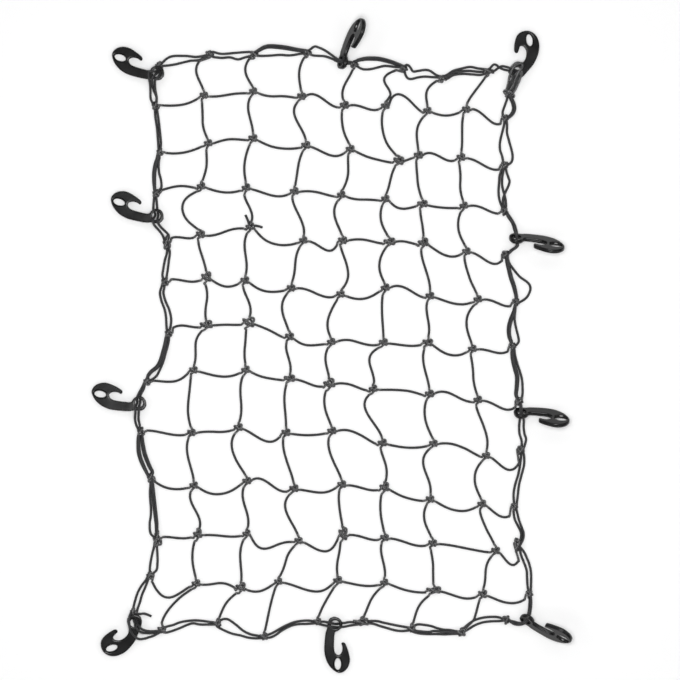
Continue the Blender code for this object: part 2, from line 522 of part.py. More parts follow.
port_corners = {}
for name, own in ports.items():
    centre = spot(*knots[name], LIFTED_JOINS.get(name, 0.0))
    own.sort(key=lambda port: port["angle"])
    count = len(own)
    for port in own:
        port["half"] = math.atan2(port["width"] / 2.0, rim(name, port["angle"]))
    for turn in range(60):
        for k in range(count):
            here = own[k]
            after = own[(k + 1) % count]
            gap = after["angle"] - here["angle"] + (2.0 * math.pi if k == count - 1 else 0.0)
            need = here["half"] + after["half"] + math.radians(9.0)
            if gap < need:
                here["angle"] -= (need - gap) / 2.0
                after["angle"] += (need - gap) / 2.0
    for port in own:
        angle = port["angle"]
        radius = rim(name, angle)
        outwards = np.array((math.cos(angle), math.sin(angle), 0.0))
        left = turned(outwards)
        foot = centre + outwards * radius + np.array((0.0, 0.0, port["climb"]))
        half = port["width"] / 2.0
        tall = np.array((0.0, 0.0, CORD_TALL))
        port["corners"] = (vertex(foot - left * half), vertex(foot + left * half),
                           vertex(foot + left * half + tall), vertex(foot - left * half + tall))
        port_corners[(port["stretch"], port["key"])] = port["corners"]
    small = name in JOINS or name == "A12"
    top = 0.0066 if small else KNOT_TOP
    ear = 0.0046 if small else KNOT_EAR
    rim_low = []
    rim_high = []
    peaks = []
    for k in range(count):
        here = own[k]
        after = own[(k + 1) % count]
        gap_from = here["angle"] + here["half"]
        gap_to = after["angle"] - after["half"] + (2.0 * math.pi if k == count - 1 else 0.0)
        gap = gap_to - gap_from
        corners = 2 if gap > math.radians(125) else (1 if gap > math.radians(26) else 0)
        low_ring = [here["corners"][1]]
        high_ring = [here["corners"][2]]
        for j in range(corners):
            angle = gap_from + gap * (j + 1.0) / (corners + 1.0)
            radius = rim(name, angle) * (1.0 if small else 1.1)
            outwards = np.array((math.cos(angle), math.sin(angle), 0.0))
            low_ring.append(vertex(centre + outwards * radius * 0.92))
            high_ring.append(vertex(centre + outwards * radius + np.array((0.0, 0.0, ear))))
        low_ring.append(after["corners"][0])
        high_ring.append(after["corners"][3])
        for j in range(len(low_ring) - 1):
            faces.append((low_ring[j], low_ring[j + 1], high_ring[j + 1], high_ring[j]))
        middle_angle = (gap_from + gap_to) / 2.0
        outwards = np.array((math.cos(middle_angle), math.sin(middle_angle), 0.0))
        peak = vertex(centre + outwards * rim(name, middle_angle) * 0.55 + np.array((0.0, 0.0, top)))
        for j in range(len(high_ring) - 1):
            faces.append((high_ring[j], high_ring[j + 1], peak))
        peaks.append(peak)
        rim_low += low_ring[:-1]
        rim_low.append(after["corners"][0])
    for k in range(count):
        here = own[k]
        faces.append((here["corners"][3], here["corners"][2], peaks[k], peaks[k - 1]))
    faces.append(tuple(peaks))
    faces.append(tuple(reversed(rim_low)))


def ring_at(point, direction, width):
    """Four corners of the cord's section at a point of its middle line."""
    direction = unit(direction)
    left = unit(turned(direction))
    up = np.cross(direction, left)
    half_w = width / 2.0
    half_t = CORD_TALL / 2.0
    return (vertex(point - left * half_w - up * half_t), vertex(point + left * half_w - up * half_t),
            vertex(point + left * half_w + up * half_t), vertex(point - left * half_w + up * half_t))


def skin(rings):
    """Joins the sections of a cord into its four sides."""
    for before, after in zip(rings, rings[1:]):
        for k in range(4):
            n = (k + 1) % 4
            faces.append((before[k], before[n], after[n], after[k]))


def pieces_needed(curve, t_from, t_to):
    """Fewest straight pieces that stay within 1.2 mm of the cord's curve."""
    fine = np.array([curve(t_from + (t_to - t_from) * k / 48.0) for k in range(49)])
    for pieces in (2, 3, 4, 5, 6):
        worst = 0.0
        rough = [curve(t_from + (t_to - t_from) * k / pieces) for k in range(pieces + 1)]
        for k, point in enumerate(fine):
            along = min(int(k * pieces / 48.0), pieces - 1)
            a = rough[along]
            b = rough[along + 1]
            direction = unit(b - a)
            off = point - a - direction * np.dot(point - a, direction)
            worst = max(worst, np.linalg.norm(off))
        if worst < 0.0012:
            return pieces
    return 6


for number, stretch in enumerate(stretches):
    start = port_corners[(number, "from")]
    finish = port_corners[(number, "to")]
    end_ring = (finish[1], finish[0], finish[3], finish[2])
    first = (vertices[start[0]] + vertices[start[2]]) / 2.0
    last = (vertices[finish[0]] + vertices[finish[2]]) / 2.0
    if stretch["curve"] is not None:
        t_from = stretch["from_t"]
        t_to = stretch["to_t"]
        pieces = pieces_needed(stretch["curve"], t_from, t_to)
        middle = []
        shift = (first - stretch["curve"](t_from), last - stretch["curve"](t_to))
        for k in range(1, pieces):
            share = k / pieces
            lift = CORD_TALL / 2.0
            lift += LIFTED_JOINS.get(stretch["from"], 0.0) * max(0.0, 1.0 - 2.0 * share)
            lift += LIFTED_JOINS.get(stretch["to"], 0.0) * max(0.0, 2.0 * share - 1.0)
            point = stretch["curve"](t_from + (t_to - t_from) * share)
            point = point + shift[0] * FLAT * (1.0 - share) ** 2 + shift[1] * FLAT * share ** 2
            middle.append((point + np.array((0.0, 0.0, lift)), stretch["width"]))
    else:
        middle = stretch["line"]
    line = [first] + [point for point, width in middle] + [last]
    rings = [start]
    for k, (point, width) in enumerate(middle, start=1):
        rings.append(ring_at(point, unit(line[k + 1] - line[k]) + unit(line[k] - line[k - 1]), width))
    rings.append(end_ring)
    skin(rings)

for number, way in enumerate(tails):
    start = port_corners[(-1 - number, "tail")]
    lift = np.array((0.0, 0.0, CORD_TALL / 2.0))
    line = [(vertices[start[0]] + vertices[start[2]]) / 2.0] + [p + lift for p in way]
    rings = [start]
    for k in range(1, len(line)):
        ahead = line[min(k + 1, len(line) - 1)] - line[k - 1]
        rings.append(ring_at(line[k], ahead, CORD))
    skin(rings)
    faces.append(rings[-1])

net = mesh_object("net", vertices, faces, elastic)
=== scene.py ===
import math

import bpy
import numpy as np
from mathutils.geometry import tessellate_polygon
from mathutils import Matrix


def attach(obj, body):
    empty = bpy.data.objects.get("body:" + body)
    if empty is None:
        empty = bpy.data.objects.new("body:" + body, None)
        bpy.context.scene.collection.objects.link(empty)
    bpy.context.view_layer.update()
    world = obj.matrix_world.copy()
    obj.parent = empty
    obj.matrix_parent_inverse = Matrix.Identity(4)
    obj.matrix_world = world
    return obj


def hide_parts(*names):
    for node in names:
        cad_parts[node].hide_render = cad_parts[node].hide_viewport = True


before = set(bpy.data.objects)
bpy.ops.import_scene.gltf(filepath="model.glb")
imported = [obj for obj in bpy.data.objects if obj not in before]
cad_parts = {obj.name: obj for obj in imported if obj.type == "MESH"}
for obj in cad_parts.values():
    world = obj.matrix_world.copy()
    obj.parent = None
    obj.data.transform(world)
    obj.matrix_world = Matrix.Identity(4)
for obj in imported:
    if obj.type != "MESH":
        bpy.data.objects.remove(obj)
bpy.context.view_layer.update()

# ------------------------------------------------------------
# The mesh cords.  One long shock cord, a bundle of rubber strands inside a braided
# polyester cover, 4 mm over the cover.  It is led back and forth and tied to itself at
# every crossing; laid down slack, each stretch between two knots keeps a shallow wave.

STEP = 0.0016  # one step of the layout, metres
OVER_ORIGIN = (331.5, 346.285)  # layout spot over the origin
CORD = 0.0040  # cord over its cover
RADIUS = CORD / 2.0
COLUMNS = "ABCDEFGHI"

KNOT_ROWS = (
    ((160.5, 62.5), (205, 56.5), (255, 54), (308.5, 52.5), (354.5, 63.5),
     (404, 68), (443, 78), (489, 71), (508, 94)),
    ((155, 105), (203.5, 96), (253, 92), (301, 97), (344, 106),
     (385, 106.5), (427, 111.5), (465.5, 110), (505.5, 119)),
    ((159.5, 151.5), (208, 144), (252.5, 139), (305.5, 146), (350, 150),
     (398, 161.5), (418, 156), (460.5, 158), (505, 166)),
    ((155.5, 193), (201, 187), (246, 188.5), (294, 192), (341, 195.5),
     (385, 199.5), (422, 204.5), (463.5, 206.5), (505, 212)),
    ((166, 242), (200, 235), (250, 227.5), (303, 241), (342, 241),
     (389, 242.5), (423, 243.5), (466, 252), (506, 255)),
    ((164.5, 281), (206, 278), (244.5, 281), (290.5, 288.5), (340, 294.5),
     (385, 288.5), (429.5, 296.5), (477.5, 300), (516.5, 303)),
    ((168, 332.5), (206, 325.5), (248, 323), (289, 337), (331, 342.5),
     (383, 343), (427, 343), (472, 349.5), (513, 347)),
    ((146.5, 381), (193, 370.5), (245.5, 370.5), (289, 379), (329, 384.5),
     (373, 389.5), (429, 394.5), (477.5, 400.5), (520, 401.5)),
    ((140.5, 431), (191, 433), (238, 428), (285.5, 433), (331.5, 431.5),
     (382, 443.5), (433, 444), (485.5, 456), (522, 457)),
    ((150, 477), (193.5, 486), (246.5, 481.5), (293.5, 489), (341.5, 485),
     (384, 488), (429.5, 499.5), (481.5, 504.5), (514.5, 511)),
    ((156.5, 538), (197.5, 535), (246.5, 534), (298, 541), (342.5, 535),
     (384, 538), (432, 543.5), (495, 551), (521.5, 554)),
    ((149.5, 575), (196, 584), (240.5, 588), (278, 582), (337.5, 581),
     (384, 583), (433, 590.5), (482, 594.5), (530, 595)),
    ((133, 611), (161.5, 630), (217, 624), (263.5, 637), (317, 622),
     (360.5, 622.5), (411, 629), (460, 633), (507, 620)),
)
# How far a cord bows from the straight line between its knots, in steps, at a third
# and at two thirds of its way: rows 1 to 11 towards the near edge, columns B to H to
# the right.
BOW_ACROSS = (
    ((3.7, 4.7), (1.5, 0), (2.8, 0.5), (-6, 1), (-1.2, 3.9), (-6.4, -1.3), (4.4, 4.5), (-2.2, 6.5)),
    ((4.5, 4.2), (-2.3, -1.7), (4.9, 5.1), (3.7, 7.8), (2.7, 2.8), (0.3, 0.2), (-4.1, 3), (-0.2, 5.3)),
    ((-3.4, -3.3), (3.7, 4.5), (2.8, 5.7), (-2.2, -0.3), (2.8, 1), (7.3, 4.9), (2, 1.9), (-2.8, 1.8)),
    ((-2.5, 1.5), (2.2, -1.3), (9.5, 8.7), (2.7, 10.3), (-2.5, -0.6), (-2.5, -0.7), (5.2, 7.8), (2.8, 9.7)),
    ((-0.2, 3), (6, 6.7), (6.3, 5.8), (-1.1, 4), (6.5, 6.7), (-5.7, -0.8), (3.6, 5.7), (-1.4, 3.5)),
    ((-4.6, -0.7), (0, 0.8), (-0.5, 0.2), (6, 4), (-3, 1.6), (1.5, 2.9), (6.8, 8.3), (0.8, 5.3)),
    ((3.9, 6.8), (4.2, 6.1), (3.2, 2.5), (0, 3.5), (-3.3, -0.6), (-1.4, -1.7), (-5.1, 0.4), (2, 8.4)),
    ((0, 2.5), (0, 2.3), (5.3, 10.7), (2.5, 2.7), (-5.5, -2.1), (3.1, 3.8), (-4.5, -2.3), (6.7, 13.3)),
    ((7, 6), (9.3, 9), (-5.3, 3.1), (3.5, 6.1), (0, 3), (3.4, 3.8), (6.6, 8.2), (4.9, 8.3)),
    ((0.2, 2.4), (0.3, 2.2), (12.4, 4.3), (8.4, 14), (-1, 2.3), (0.5, 3.8), (-0.3, 1.3), (6.8, 12)),
    ((19, 11.7), (-1, -4.1), (6, 5.5), (5.3, 10.2), (2.3, 3.6), (3.1, 4), (2, 5.4), (5.6, 8.2)),
)
BOW_DOWN = {
    "B": ((-8.3, -4), (-2, -3.5), (1.6, 2.2), (-17.4, -14.3), (-1.7, 0.3), (2, -0.8),
          (-5.7, -1.3), (-2.8, -3.7), (-4.8, -1.7), (-3.5, 3.5), (-4.3, -3.3), (-6.5, -7.8)),
    "C": ((-8.7, -6.3), (-4.8, -1.3), (-4.3, -4), (-0.6, 4), (-3.6, 0.4), (0.6, 4.2),
          (-1.2, -2.1), (-2.6, 1), (-9.2, -5.7), (-3.5, 1.5), (-4.2, -1.3), (-4.4, -3.3)),
    "D": ((-6, -4.1), (-8.5, -2.4), (-2.5, -1), (-1.3, 3), (-2.8, 0), (-8, -4.7),
          (-2.4, 1.7), (-3.4, -1.2), (-4, -0.9), (-10, -4.5), (-3.6, -0.5), (-1.5, -0.8)),
    "E": ((-2.3, -5.8), (-3.8, -3.5), (1.5, 3.2), (-7.3, -4), (3.7, 7.6), (-5.8, -7),
          (-5, -2.3), (-5.6, -3.7), (-5.7, -2.2), (-2.8, -1.2), (-0.8, -2.5), (-1.2, -1.8)),
    "F": ((-14.9, -7.7), (-7.3, -7), (-2, 0), (-5.8, -4.7), (-7.2, -6.5), (-2.3, -1),
          (-10.3, -3.3), (-11.2, -3.8), (1.5, 3.7), (-3.6, -2.4), (-2.7, 0.7), (-3.3, -1.5)),
    "G": ((-9.9, -5.8), (-6.3, -4), (-2.1, -2.3), (-0.8, 0.3), (-2, 1.1), (-1.9, 1.5),
          (-4.5, -1.5), (-5.8, -4.3), (-8.8, -1.7), (-6.5, -4.2), (0.7, 0.3), (-5.2, -3.3)),
    "H": ((-0.7, -2.3), (-1.6, 0), (-0.6, -2.5), (-6.2, -5.1), (-3.1, -2), (-8.5, -6.1),
          (-0.8, -2), (0.8, 4.2), (-8.8, -6.8), (-3.2, -1.1), (-4.4, -0.9), (-0.5, 0)),
}
knots = {COLUMNS[c] + str(r): spot for r, row in enumerate(KNOT_ROWS) for c, spot in enumerate(row)}


def place(spots, height=RADIUS):
    """World points of layout spots: steps from the spot over the origin, y turned up; a
    third number, where a spot has one, is the height in millimetres."""
    spots = np.asarray(spots, dtype=float)
    flat = (spots[..., :2] - OVER_ORIGIN) * (STEP, -STEP)
    tall = spots[..., 2:3] / 1000.0 if spots.shape[-1] == 3 else np.full(flat.shape[:-1] + (1,), height)
    return np.concatenate((flat, tall), axis=-1)


PER_SPAN = 16  # fine points between two given ones


def lengths(vectors):
    """Lengths of the vectors in an array's last axis: the root of the sum of squares."""
    return np.linalg.norm(vectors, axis=-1)


def unit(vectors):
    """Vectors of the same directions, each divided by its length."""
    return vectors / lengths(vectors)[..., None]


def smoothed(points, rings):
    """Evenly spaced rings along a curve through the points: a Catmull-Rom spline, whose
    cubic on each span takes its end slopes from the neighbouring points, read off at
    equal steps of its length.  Points are (cords, points, 3)."""
    points = np.asarray(points, dtype=float)
    ends = (2 * points[:, :1] - points[:, 1:2], 2 * points[:, -1:] - points[:, -2:-1])
    held = np.concatenate((ends[0], points, ends[1]), axis=1)
    t = np.linspace(0, 1, PER_SPAN + 1)[:-1][None, None, :, None]
    a, b, c, d = (held[:, k:k + points.shape[1] - 1, None] for k in range(4))
    dense = 0.5 * (2 * b + (c - a) * t + (2 * a - 5 * b + 4 * c - d) * t ** 2
                   + (3 * b - a - 3 * c + d) * t ** 3)
    dense = np.concatenate((dense.reshape(len(points), -1, 3), points[:, -1:]), axis=1)
    run = np.cumsum(lengths(np.diff(dense, axis=1)), axis=1)
    run = np.concatenate((np.zeros((len(dense), 1)), run), axis=1)
    out = np.empty((len(points), rings, 3))
    for k, (line, length) in enumerate(zip(dense, run)):
        want = np.linspace(0, length[-1], rings)
        out[k] = np.stack([np.interp(want, length, line[:, i]) for i in range(3)], axis=1)
    return out


NEARLY_UPRIGHT = 0.2  # sine of a line's angle to the vertical


def carried(lines, radius, sides):
    """A circle carried along each line without twisting: ring i is the line's point plus
    radius (cos a, sin a) in two directions square to the line, which are passed from ring
    to ring and squared up again.  A line is first raised to a radius above the floor
    where it is lower.  Lines are (cords, rings, 3); the result adds the sides."""
    lines = np.concatenate((lines[..., :2], np.maximum(lines[..., 2:], np.max(radius))), axis=2)
    ahead = unit(np.gradient(lines, axis=1))
    side = np.empty_like(ahead)
    first = np.cross(ahead[:, 0], (0.0, 0.0, 1.0))
    first[lengths(first) < NEARLY_UPRIGHT] = (1.0, 0.0, 0.0)
    side[:, 0] = first
    for i in range(lines.shape[1]):
        last = side[:, max(i - 1, 0)]
        square = last - ahead[:, i] * (last * ahead[:, i]).sum(axis=1, keepdims=True)
        side[:, i] = unit(square)
    up = np.cross(side, ahead)
    angle = np.linspace(0, 2 * math.pi, sides, endpoint=False)[None, None, :, None]
    thick = radius if np.ndim(radius) == 0 else np.asarray(radius)[:, :, None, None]
    circle = np.cos(angle) * side[:, :, None] + np.sin(angle) * up[:, :, None]
    return lines[:, :, None] + thick * circle


def squares(grid):
    """The four corners of every square of a grid, from axes 1 and 2, in one more axis."""
    return np.stack((grid[:, :-1, :-1], grid[:, :-1, 1:], grid[:, 1:, 1:], grid[:, 1:, :-1]), axis=3)


def put(name, data):
    """A new object of a mesh, lamp or camera, in the scene."""
    piece = bpy.data.objects.new(name, data)
    bpy.context.scene.collection.objects.link(piece)
    return piece


def cord_mesh(name, bundles, materials, free=0):
    """One mesh of closed cords from arrays (cords, rings, sides, 3), of which the first
    few are free cord in the first material and the rest tied.  Each has a fan of
    faces at both ends, and a map that runs once round the cord and, along it, once for
    each length equal to its girth, so that the braid keeps its proportions."""
    vertices, corners, sizes, maps, kinds = [], [], [], [], []
    base = 0
    for k, rings in enumerate(bundles):
        cords, steps, sides = rings.shape[:3]
        middles = rings.mean(axis=2)
        caps = np.stack((middles[:, 0], middles[:, -1]), axis=1)
        vertices += [rings.reshape(-1, 3), caps.reshape(-1, 3)]
        number = base + np.arange(cords * steps * sides).reshape(cords, steps, sides)
        number = np.concatenate((number, number[:, :, :1]), axis=2)
        quads = squares(number)
        girth = lengths(np.diff(rings[:, :, :2], axis=2)).mean() * sides
        length = lengths(np.diff(middles, axis=1)).cumsum(axis=1) / girth
        length = np.concatenate((np.zeros((cords, 1)), length), axis=1)[:, :, None]
        v = np.broadcast_to(length, (cords, steps, sides + 1))
        u = np.broadcast_to(np.linspace(0, 1, sides + 1), (cords, steps, sides + 1))
        uv = np.stack((u, v), axis=3)
        corners.append(quads.reshape(-1))
        maps.append(squares(uv).reshape(-1, 2))
        sizes.append(np.full(quads[..., 0].size, 4))
        cap_base = base + cords * steps * sides
        for end in (0, -1):
            ring = number[:, end]
            hub = np.broadcast_to(cap_base + 2 * np.arange(cords)[:, None] - end, (cords, sides))
            fan = (ring[:, :-1], ring[:, 1:], hub) if end else (ring[:, 1:], ring[:, :-1], hub)
            corners.append(np.stack(fan, axis=2).reshape(-1))
            sizes.append(np.full(cords * sides, 3))
            maps.append(np.broadcast_to(uv[:, end, :1], (cords, sides * 3, 2)).reshape(-1, 2))
        base = cap_base + 2 * cords
        faces = quads[..., 0].size + 2 * cords * sides
        kinds.append(np.full(faces, int(k >= free), dtype=np.int32))
    vertices, corners, sizes, maps = map(np.concatenate, (vertices, corners, sizes, maps))
    mesh = bpy.data.meshes.new(name)
    mesh.vertices.add(len(vertices))
    mesh.vertices.foreach_set("co", vertices.astype(np.float32).ravel())
    mesh.loops.add(len(corners))
    mesh.loops.foreach_set("vertex_index", corners.astype(np.int32))
    mesh.polygons.add(len(sizes))
    starts = np.concatenate(([0], np.cumsum(sizes)[:-1]))
    mesh.polygons.foreach_set("loop_start", starts.astype(np.int32))
    mesh.uv_layers.new(name="braid").data.foreach_set("uv", maps.astype(np.float32).ravel())
    mesh.update(calc_edges=True)
    mesh.validate()
    mesh.polygons.foreach_set("use_smooth", np.ones(len(sizes), dtype=bool))
    for material in materials:
        mesh.materials.append(material)
    mesh.polygons.foreach_set("material_index", np.concatenate(kinds))
    return put(name, mesh)


def linear(code):
    """Linear colour of an sRGB hex code: below 0.04045 a straight line, above it a power
    of 2.4."""
    parts = np.array([int(code[k:k + 2], 16) for k in (1, 3, 5)]) / 255.0
    parts = np.where(parts <= 0.04045, parts / 12.92, ((parts + 0.055) / 1.055) ** 2.4)
    return (*parts.tolist(), 1.0)


def new_material(name):
    """A material with nodes, its tree and its shader."""
    material = bpy.data.materials.new(name)
    material.use_nodes = True
    return material, material.node_tree, material.node_tree.nodes["Principled BSDF"]


def node(tree, kind, settings=(), links=(), values=()):
    """Adds a node: its settings by name, then its input values, then links from
    (node, output) into its inputs."""
    new = tree.nodes.new("ShaderNode" + kind)
    for key, value in dict(settings).items():
        setattr(new, key, value)
    for key, value in dict(values).items():
        new.inputs[key].default_value = value
    for key, (source, output) in dict(links).items():
        tree.links.new(source.outputs[output], new.inputs[key])
    return new


def braided_polyester(name, picks, crown, gloss, rough):
    """Braided polyester cover, sixteen carriers of black multifilament yarn plaited over
    rubber.  Two families of yarn cross on a slant, so the height is the product of two
    sine waves along u + v and u - v; the colour follows it, with a painted highlight of dull
    grey on the crowns and painted shade, nearly black, in the hollows between them.  The
    picks are about 1.5 mm wide, coarser than real ones, so that they show.  Where the cord is
    drawn tight its yarn shines, so its highlight is brighter and sharper."""
    material, tree, shader = new_material(name)
    shader.inputs["Roughness"].default_value = rough
    shader.inputs["IOR"].default_value = 1.6
    shader.inputs["Specular IOR Level"].default_value = gloss
    place_on = node(tree, "UVMap", {"uv_map": "braid"})
    split = node(tree, "SeparateXYZ", links={0: (place_on, 0)})
    turn = 2 * math.pi * picks
    round_it, along = (node(tree, "Math", {"operation": "MULTIPLY"}, {0: (split, k)}, {1: turn})
                       for k in (0, 1))
    waves = []
    for way in ("ADD", "SUBTRACT"):
        slant = node(tree, "Math", {"operation": way}, {0: (along, 0), 1: (round_it, 0)})
        waves.append(node(tree, "Math", {"operation": "SINE"}, {0: (slant, 0)}))
    weave = node(tree, "Math", {"operation": "MULTIPLY"}, {0: (waves[0], 0), 1: (waves[1], 0)})
    where = node(tree, "TexCoord")
    fibres = node(tree, "TexNoise", links={"Vector": (where, "Object")},
                  values={"Scale": 900.0, "Detail": 2.0})
    worn = node(tree, "TexNoise", links={"Vector": (where, "Object")},
                values={"Scale": 14.0, "Detail": 3.0})
    height = node(tree, "Math", {"operation": "MULTIPLY_ADD"},
                  {0: (fibres, 0), 2: (weave, 0)}, {1: 0.5})
    shade = node(tree, "MapRange", links={"Value": (height, 0)},
                 values={"From Min": -0.8, "From Max": 1.4, "To Min": 0.0, "To Max": 0.85})
    shade_worn = node(tree, "Math", {"operation": "MULTIPLY_ADD", "use_clamp": True},
                      {0: (worn, 0), 2: (shade, 0)}, {1: 0.3})
    # The weave's height is painted into the base colour: a painted highlight in the crown colour on the
    # crowns and painted shade, nearly black, in the hollows. The worn noise adds a random tone on top.
    painted_weave_light = node(tree, "ValToRGB", links={0: (shade_worn, 0)})
    painted_weave_light.color_ramp.elements[0].color = linear("#030304")
    painted_weave_light.color_ramp.elements[0].position = 0.1
    painted_weave_light.color_ramp.elements[1].color = linear(crown)
    tree.links.new(painted_weave_light.outputs[0], shader.inputs["Base Color"])
    bump = node(tree, "Bump", links={"Height": (height, 0)},
                values={"Strength": 0.5, "Distance": 0.00025})
    tree.links.new(bump.outputs[0], shader.inputs["Normal"])
    return material


# The grey given to each cover is the painted highlight on the crowns of its weave.
cover = braided_polyester("braided_polyester_cover", 8, "#3E3E40", 0.3, 0.36)
drawn_cover = braided_polyester("braided_polyester_cover_drawn_tight", 8, "#3C3C3E", 1.0, 0.27)


def bowed(start, end, bow, down, t):
    """Points of a slack cord at shares t of its way: the straight line plus the cubic
    that passes through its bow at one third and at two thirds."""
    start, end = place(start), place(end)
    side = np.array((1.0, 0.0, 0.0)) if down else np.array((0.0, -1.0, 0.0))
    first = 13.5 * t * (t - 2 / 3) * (t - 1)
    second = -13.5 * t * (t - 1 / 3) * (t - 1)
    aside = (first * bow[0] + second * bow[1]) * STEP
    return start + (end - start) * t[:, None] + side * aside[:, None]


# Each cord's fine line, from the middle of one knot to the middle of the next.
mesh_lines = {}
fine = np.linspace(0, 1, 161)
for r, bows in enumerate(BOW_ACROSS, start=1):
    for c, bow in enumerate(bows):
        pair = (COLUMNS[c] + str(r), COLUMNS[c + 1] + str(r))
        mesh_lines[pair] = bowed(knots[pair[0]], knots[pair[1]], bow, False, fine)
for column, bows in BOW_DOWN.items():
    for r, bow in enumerate(bows):
        pair = (column + str(r), column + str(r + 1))
        mesh_lines[pair] = bowed(knots[pair[0]], knots[pair[1]], bow, True, fine)


def evened(values, width, ends="edge"):
    """Running mean over so many values, an odd number, the ends padded first."""
    return np.convolve(np.pad(values, width // 2, mode=ends), np.ones(width) / width, mode="valid")


def run_on(first, via, second, spread, into_last):
    """Line of a cord that bows from one knot to a meeting place and runs on, beside
    another cord, to the next knot: the bowed part, then a straight part spread aside by
    some steps, joined evenly."""
    start, meet, last = (np.array(p, dtype=float) for p in (first, via[0], second))
    part = bowed(start, meet, via[1], via[2], fine)
    tail = place(meet + (last + (spread, 0) - meet) * np.linspace(0, 1, 40)[1:, None])
    line = np.concatenate((part, tail))
    even = np.stack([evened(line[:, i], 13) for i in range(3)], axis=1)
    return even if into_last else even[::-1]


# Above F1 two cords run side by side; the H cord joins the edge cords short of H12.
OVER_F1 = (390.5, 96.5)
BESIDE_H12 = (473.5, 620.5)
BESIDE = 1.2  # steps from the middle to each of the two cords
via_down = (OVER_F1, BOW_DOWN["F"][0], True)
via_back = (OVER_F1, BOW_ACROSS[0][5][::-1], False)
via_edge = (BESIDE_H12, BOW_DOWN["H"][11], True)
mesh_lines[("F0", "F1")] = run_on(knots["F0"], via_down, knots["F1"], -BESIDE, True)
mesh_lines[("F1", "G1")] = run_on(knots["G1"], via_back, knots["F1"], BESIDE, False)
mesh_lines[("H11", "H12")] = run_on(knots["H11"], via_edge, knots["H12"], 0, True)


def along_from(line, far):
    """Point of a line at a straight distance from its first point, between the two fine
    points on either side of it."""
    away = lengths(line - line[0])
    k = int(np.argmax(away > far))
    share = (far - away[k - 1]) / (away[k] - away[k - 1])
    return line[k - 1] + (line[k] - line[k - 1]) * share


# Where each cord comes out of a sheet bend, in steps to the right of its middle and
# towards the near edge.
PORTS = {"right": (3.5, 0.4), "left": (-3.9, 1.5), "down": (-1.8, 3.6), "up": (0.45, -3.9)}
# Edge knots that sit beside the point where their mesh cord reaches the edge.
KNOT_SITS_AT = {"A0": (158.4, 65.5), "B0": (210, 53.5), "I8": (521.5, 450.5), "I9": (515, 507),
                "I10": (518, 546), "I11": (530, 594.5)}
seats = {**knots, **KNOT_SITS_AT}
FADES_OVER = 24 * STEP  # how far along a cord its move into a port reaches


def into_port(line, name, side):
    """A line whose first end is moved aside so that it passes through its knot's port;
    the move fades by a smooth step, 3 s squared less 2 s cubed."""
    if name[0] in "AI" or name[1:] in ("0", "12"):
        return line  # at the edge it runs straight on to the edge cords
    passes = along_from(line, math.hypot(*PORTS[side]) * STEP)
    aside = place(np.add(knots[name], PORTS[side])) - passes
    share = np.clip(1 - lengths(line - line[0]) / FADES_OVER, 0, 1)
    return line + aside * (share ** 2 * (3 - 2 * share))[:, None]


for pair, line in mesh_lines.items():
    across = pair[0][1:] == pair[1][1:]
    line = into_port(line, pair[0], "right" if across else "down")
    mesh_lines[pair] = into_port(line[::-1], pair[1], "left" if across else "up")[::-1]


RUNS_IN = 7.2 * STEP  # from a knot's middle to a stretch's end, inside the turns
ON_STRETCH = 15  # points that carry a stretch of cord


def stretch_of(line):
    """Points of a cord between its two knots, its ends just inside their turns."""
    near = lengths(line - line[0]) > RUNS_IN
    far = lengths(line - line[-1]) > RUNS_IN
    inside = line[near & far]
    picked = inside[np.linspace(0, len(inside) - 1, ON_STRETCH).astype(int)].copy()
    picked[0], picked[-1] = along_from(line, RUNS_IN), along_from(line[::-1], RUNS_IN)
    return picked


# The stretches are a shade thinner than the turns, which so cover their ends.
INSIDE_TURNS = 0.985
stretches = np.stack([stretch_of(line) for line in mesh_lines.values()])
mesh_cords = carried(smoothed(stretches, 20), RADIUS * INSIDE_TURNS, 8)

# ------------------------------------------------------------
# The mesh knots.  Each is a sheet bend: one cord makes a bight, the other comes up
# through it, round behind its legs and back over the front, drawn tight by hand, so no
# two lie alike.

# Knots that were not drawn up round: reach across and reach down, in steps.
LONG_KNOTS = {
    "H0": (5.6, 4.2), "I0": (4.2, 4.6), "F2": (5.6, 5.2), "G3": (5.8, 4.4), "A4": (4.4, 7.5),
    "F4": (6.6, 4.8), "G4": (5.4, 5.2), "B5": (5.2, 6.6), "B6": (6.4, 4.8), "C6": (6.4, 6.4),
    "D7": (6.2, 4.4), "E7": (6.2, 6.2), "G6": (5.4, 4.4), "F9": (5.2, 6.2), "A9": (4.2, 5.4),
    "A10": (5.0, 8.8), "B10": (4.4, 6.0), "E10": (4.8, 9.4), "I10": (4.2, 8.6),
    "C11": (5.4, 6.2), "G11": (8.6, 4.2), "H11": (4.4, 5.0), "F12": (8.6, 4.6),
    "H12": (5.4, 4.4), "A12": (3.4, 3.4),
}
ROUND_REACH = 4.2  # steps, of a knot that was drawn up round

# The two cords of the bend, in cord widths: towards the upper right of the layout,
# towards the lower right, up from the floor.  Each begins and ends on a mesh cord.
BIGHT = ((-1.5, -0.66, 0.55), (-0.95, -0.68, 0.85), (-0.2, -0.68, 1.25), (0.6, -0.66, 1.35),
         (1.35, -0.5, 1.2), (1.78, 0, 1.1), (1.35, 0.5, 1.2), (0.6, 0.66, 1.35), (-0.2, 0.68, 1.25),
         (-0.95, 0.62, 0.85), (-1.42, 0.6, 0.55))
WRAP = ((1.3, -1.05, 0.75), (1.0, -0.55, 0.45), (0.95, 0, 1.2), (0.9, 0.68, 2.05), (0.5, 1.4, 1.3),
        (0, 0.7, 0.5), (-0.45, 0, 0.45), (-0.5, -0.68, 0.5), (-0.35, -1.4, 1.35), (0.1, -0.68, 2.15),
        (0.15, 0, 2.2), (0.35, 0.66, 2.1), (0.78, 1.05, 1.5))
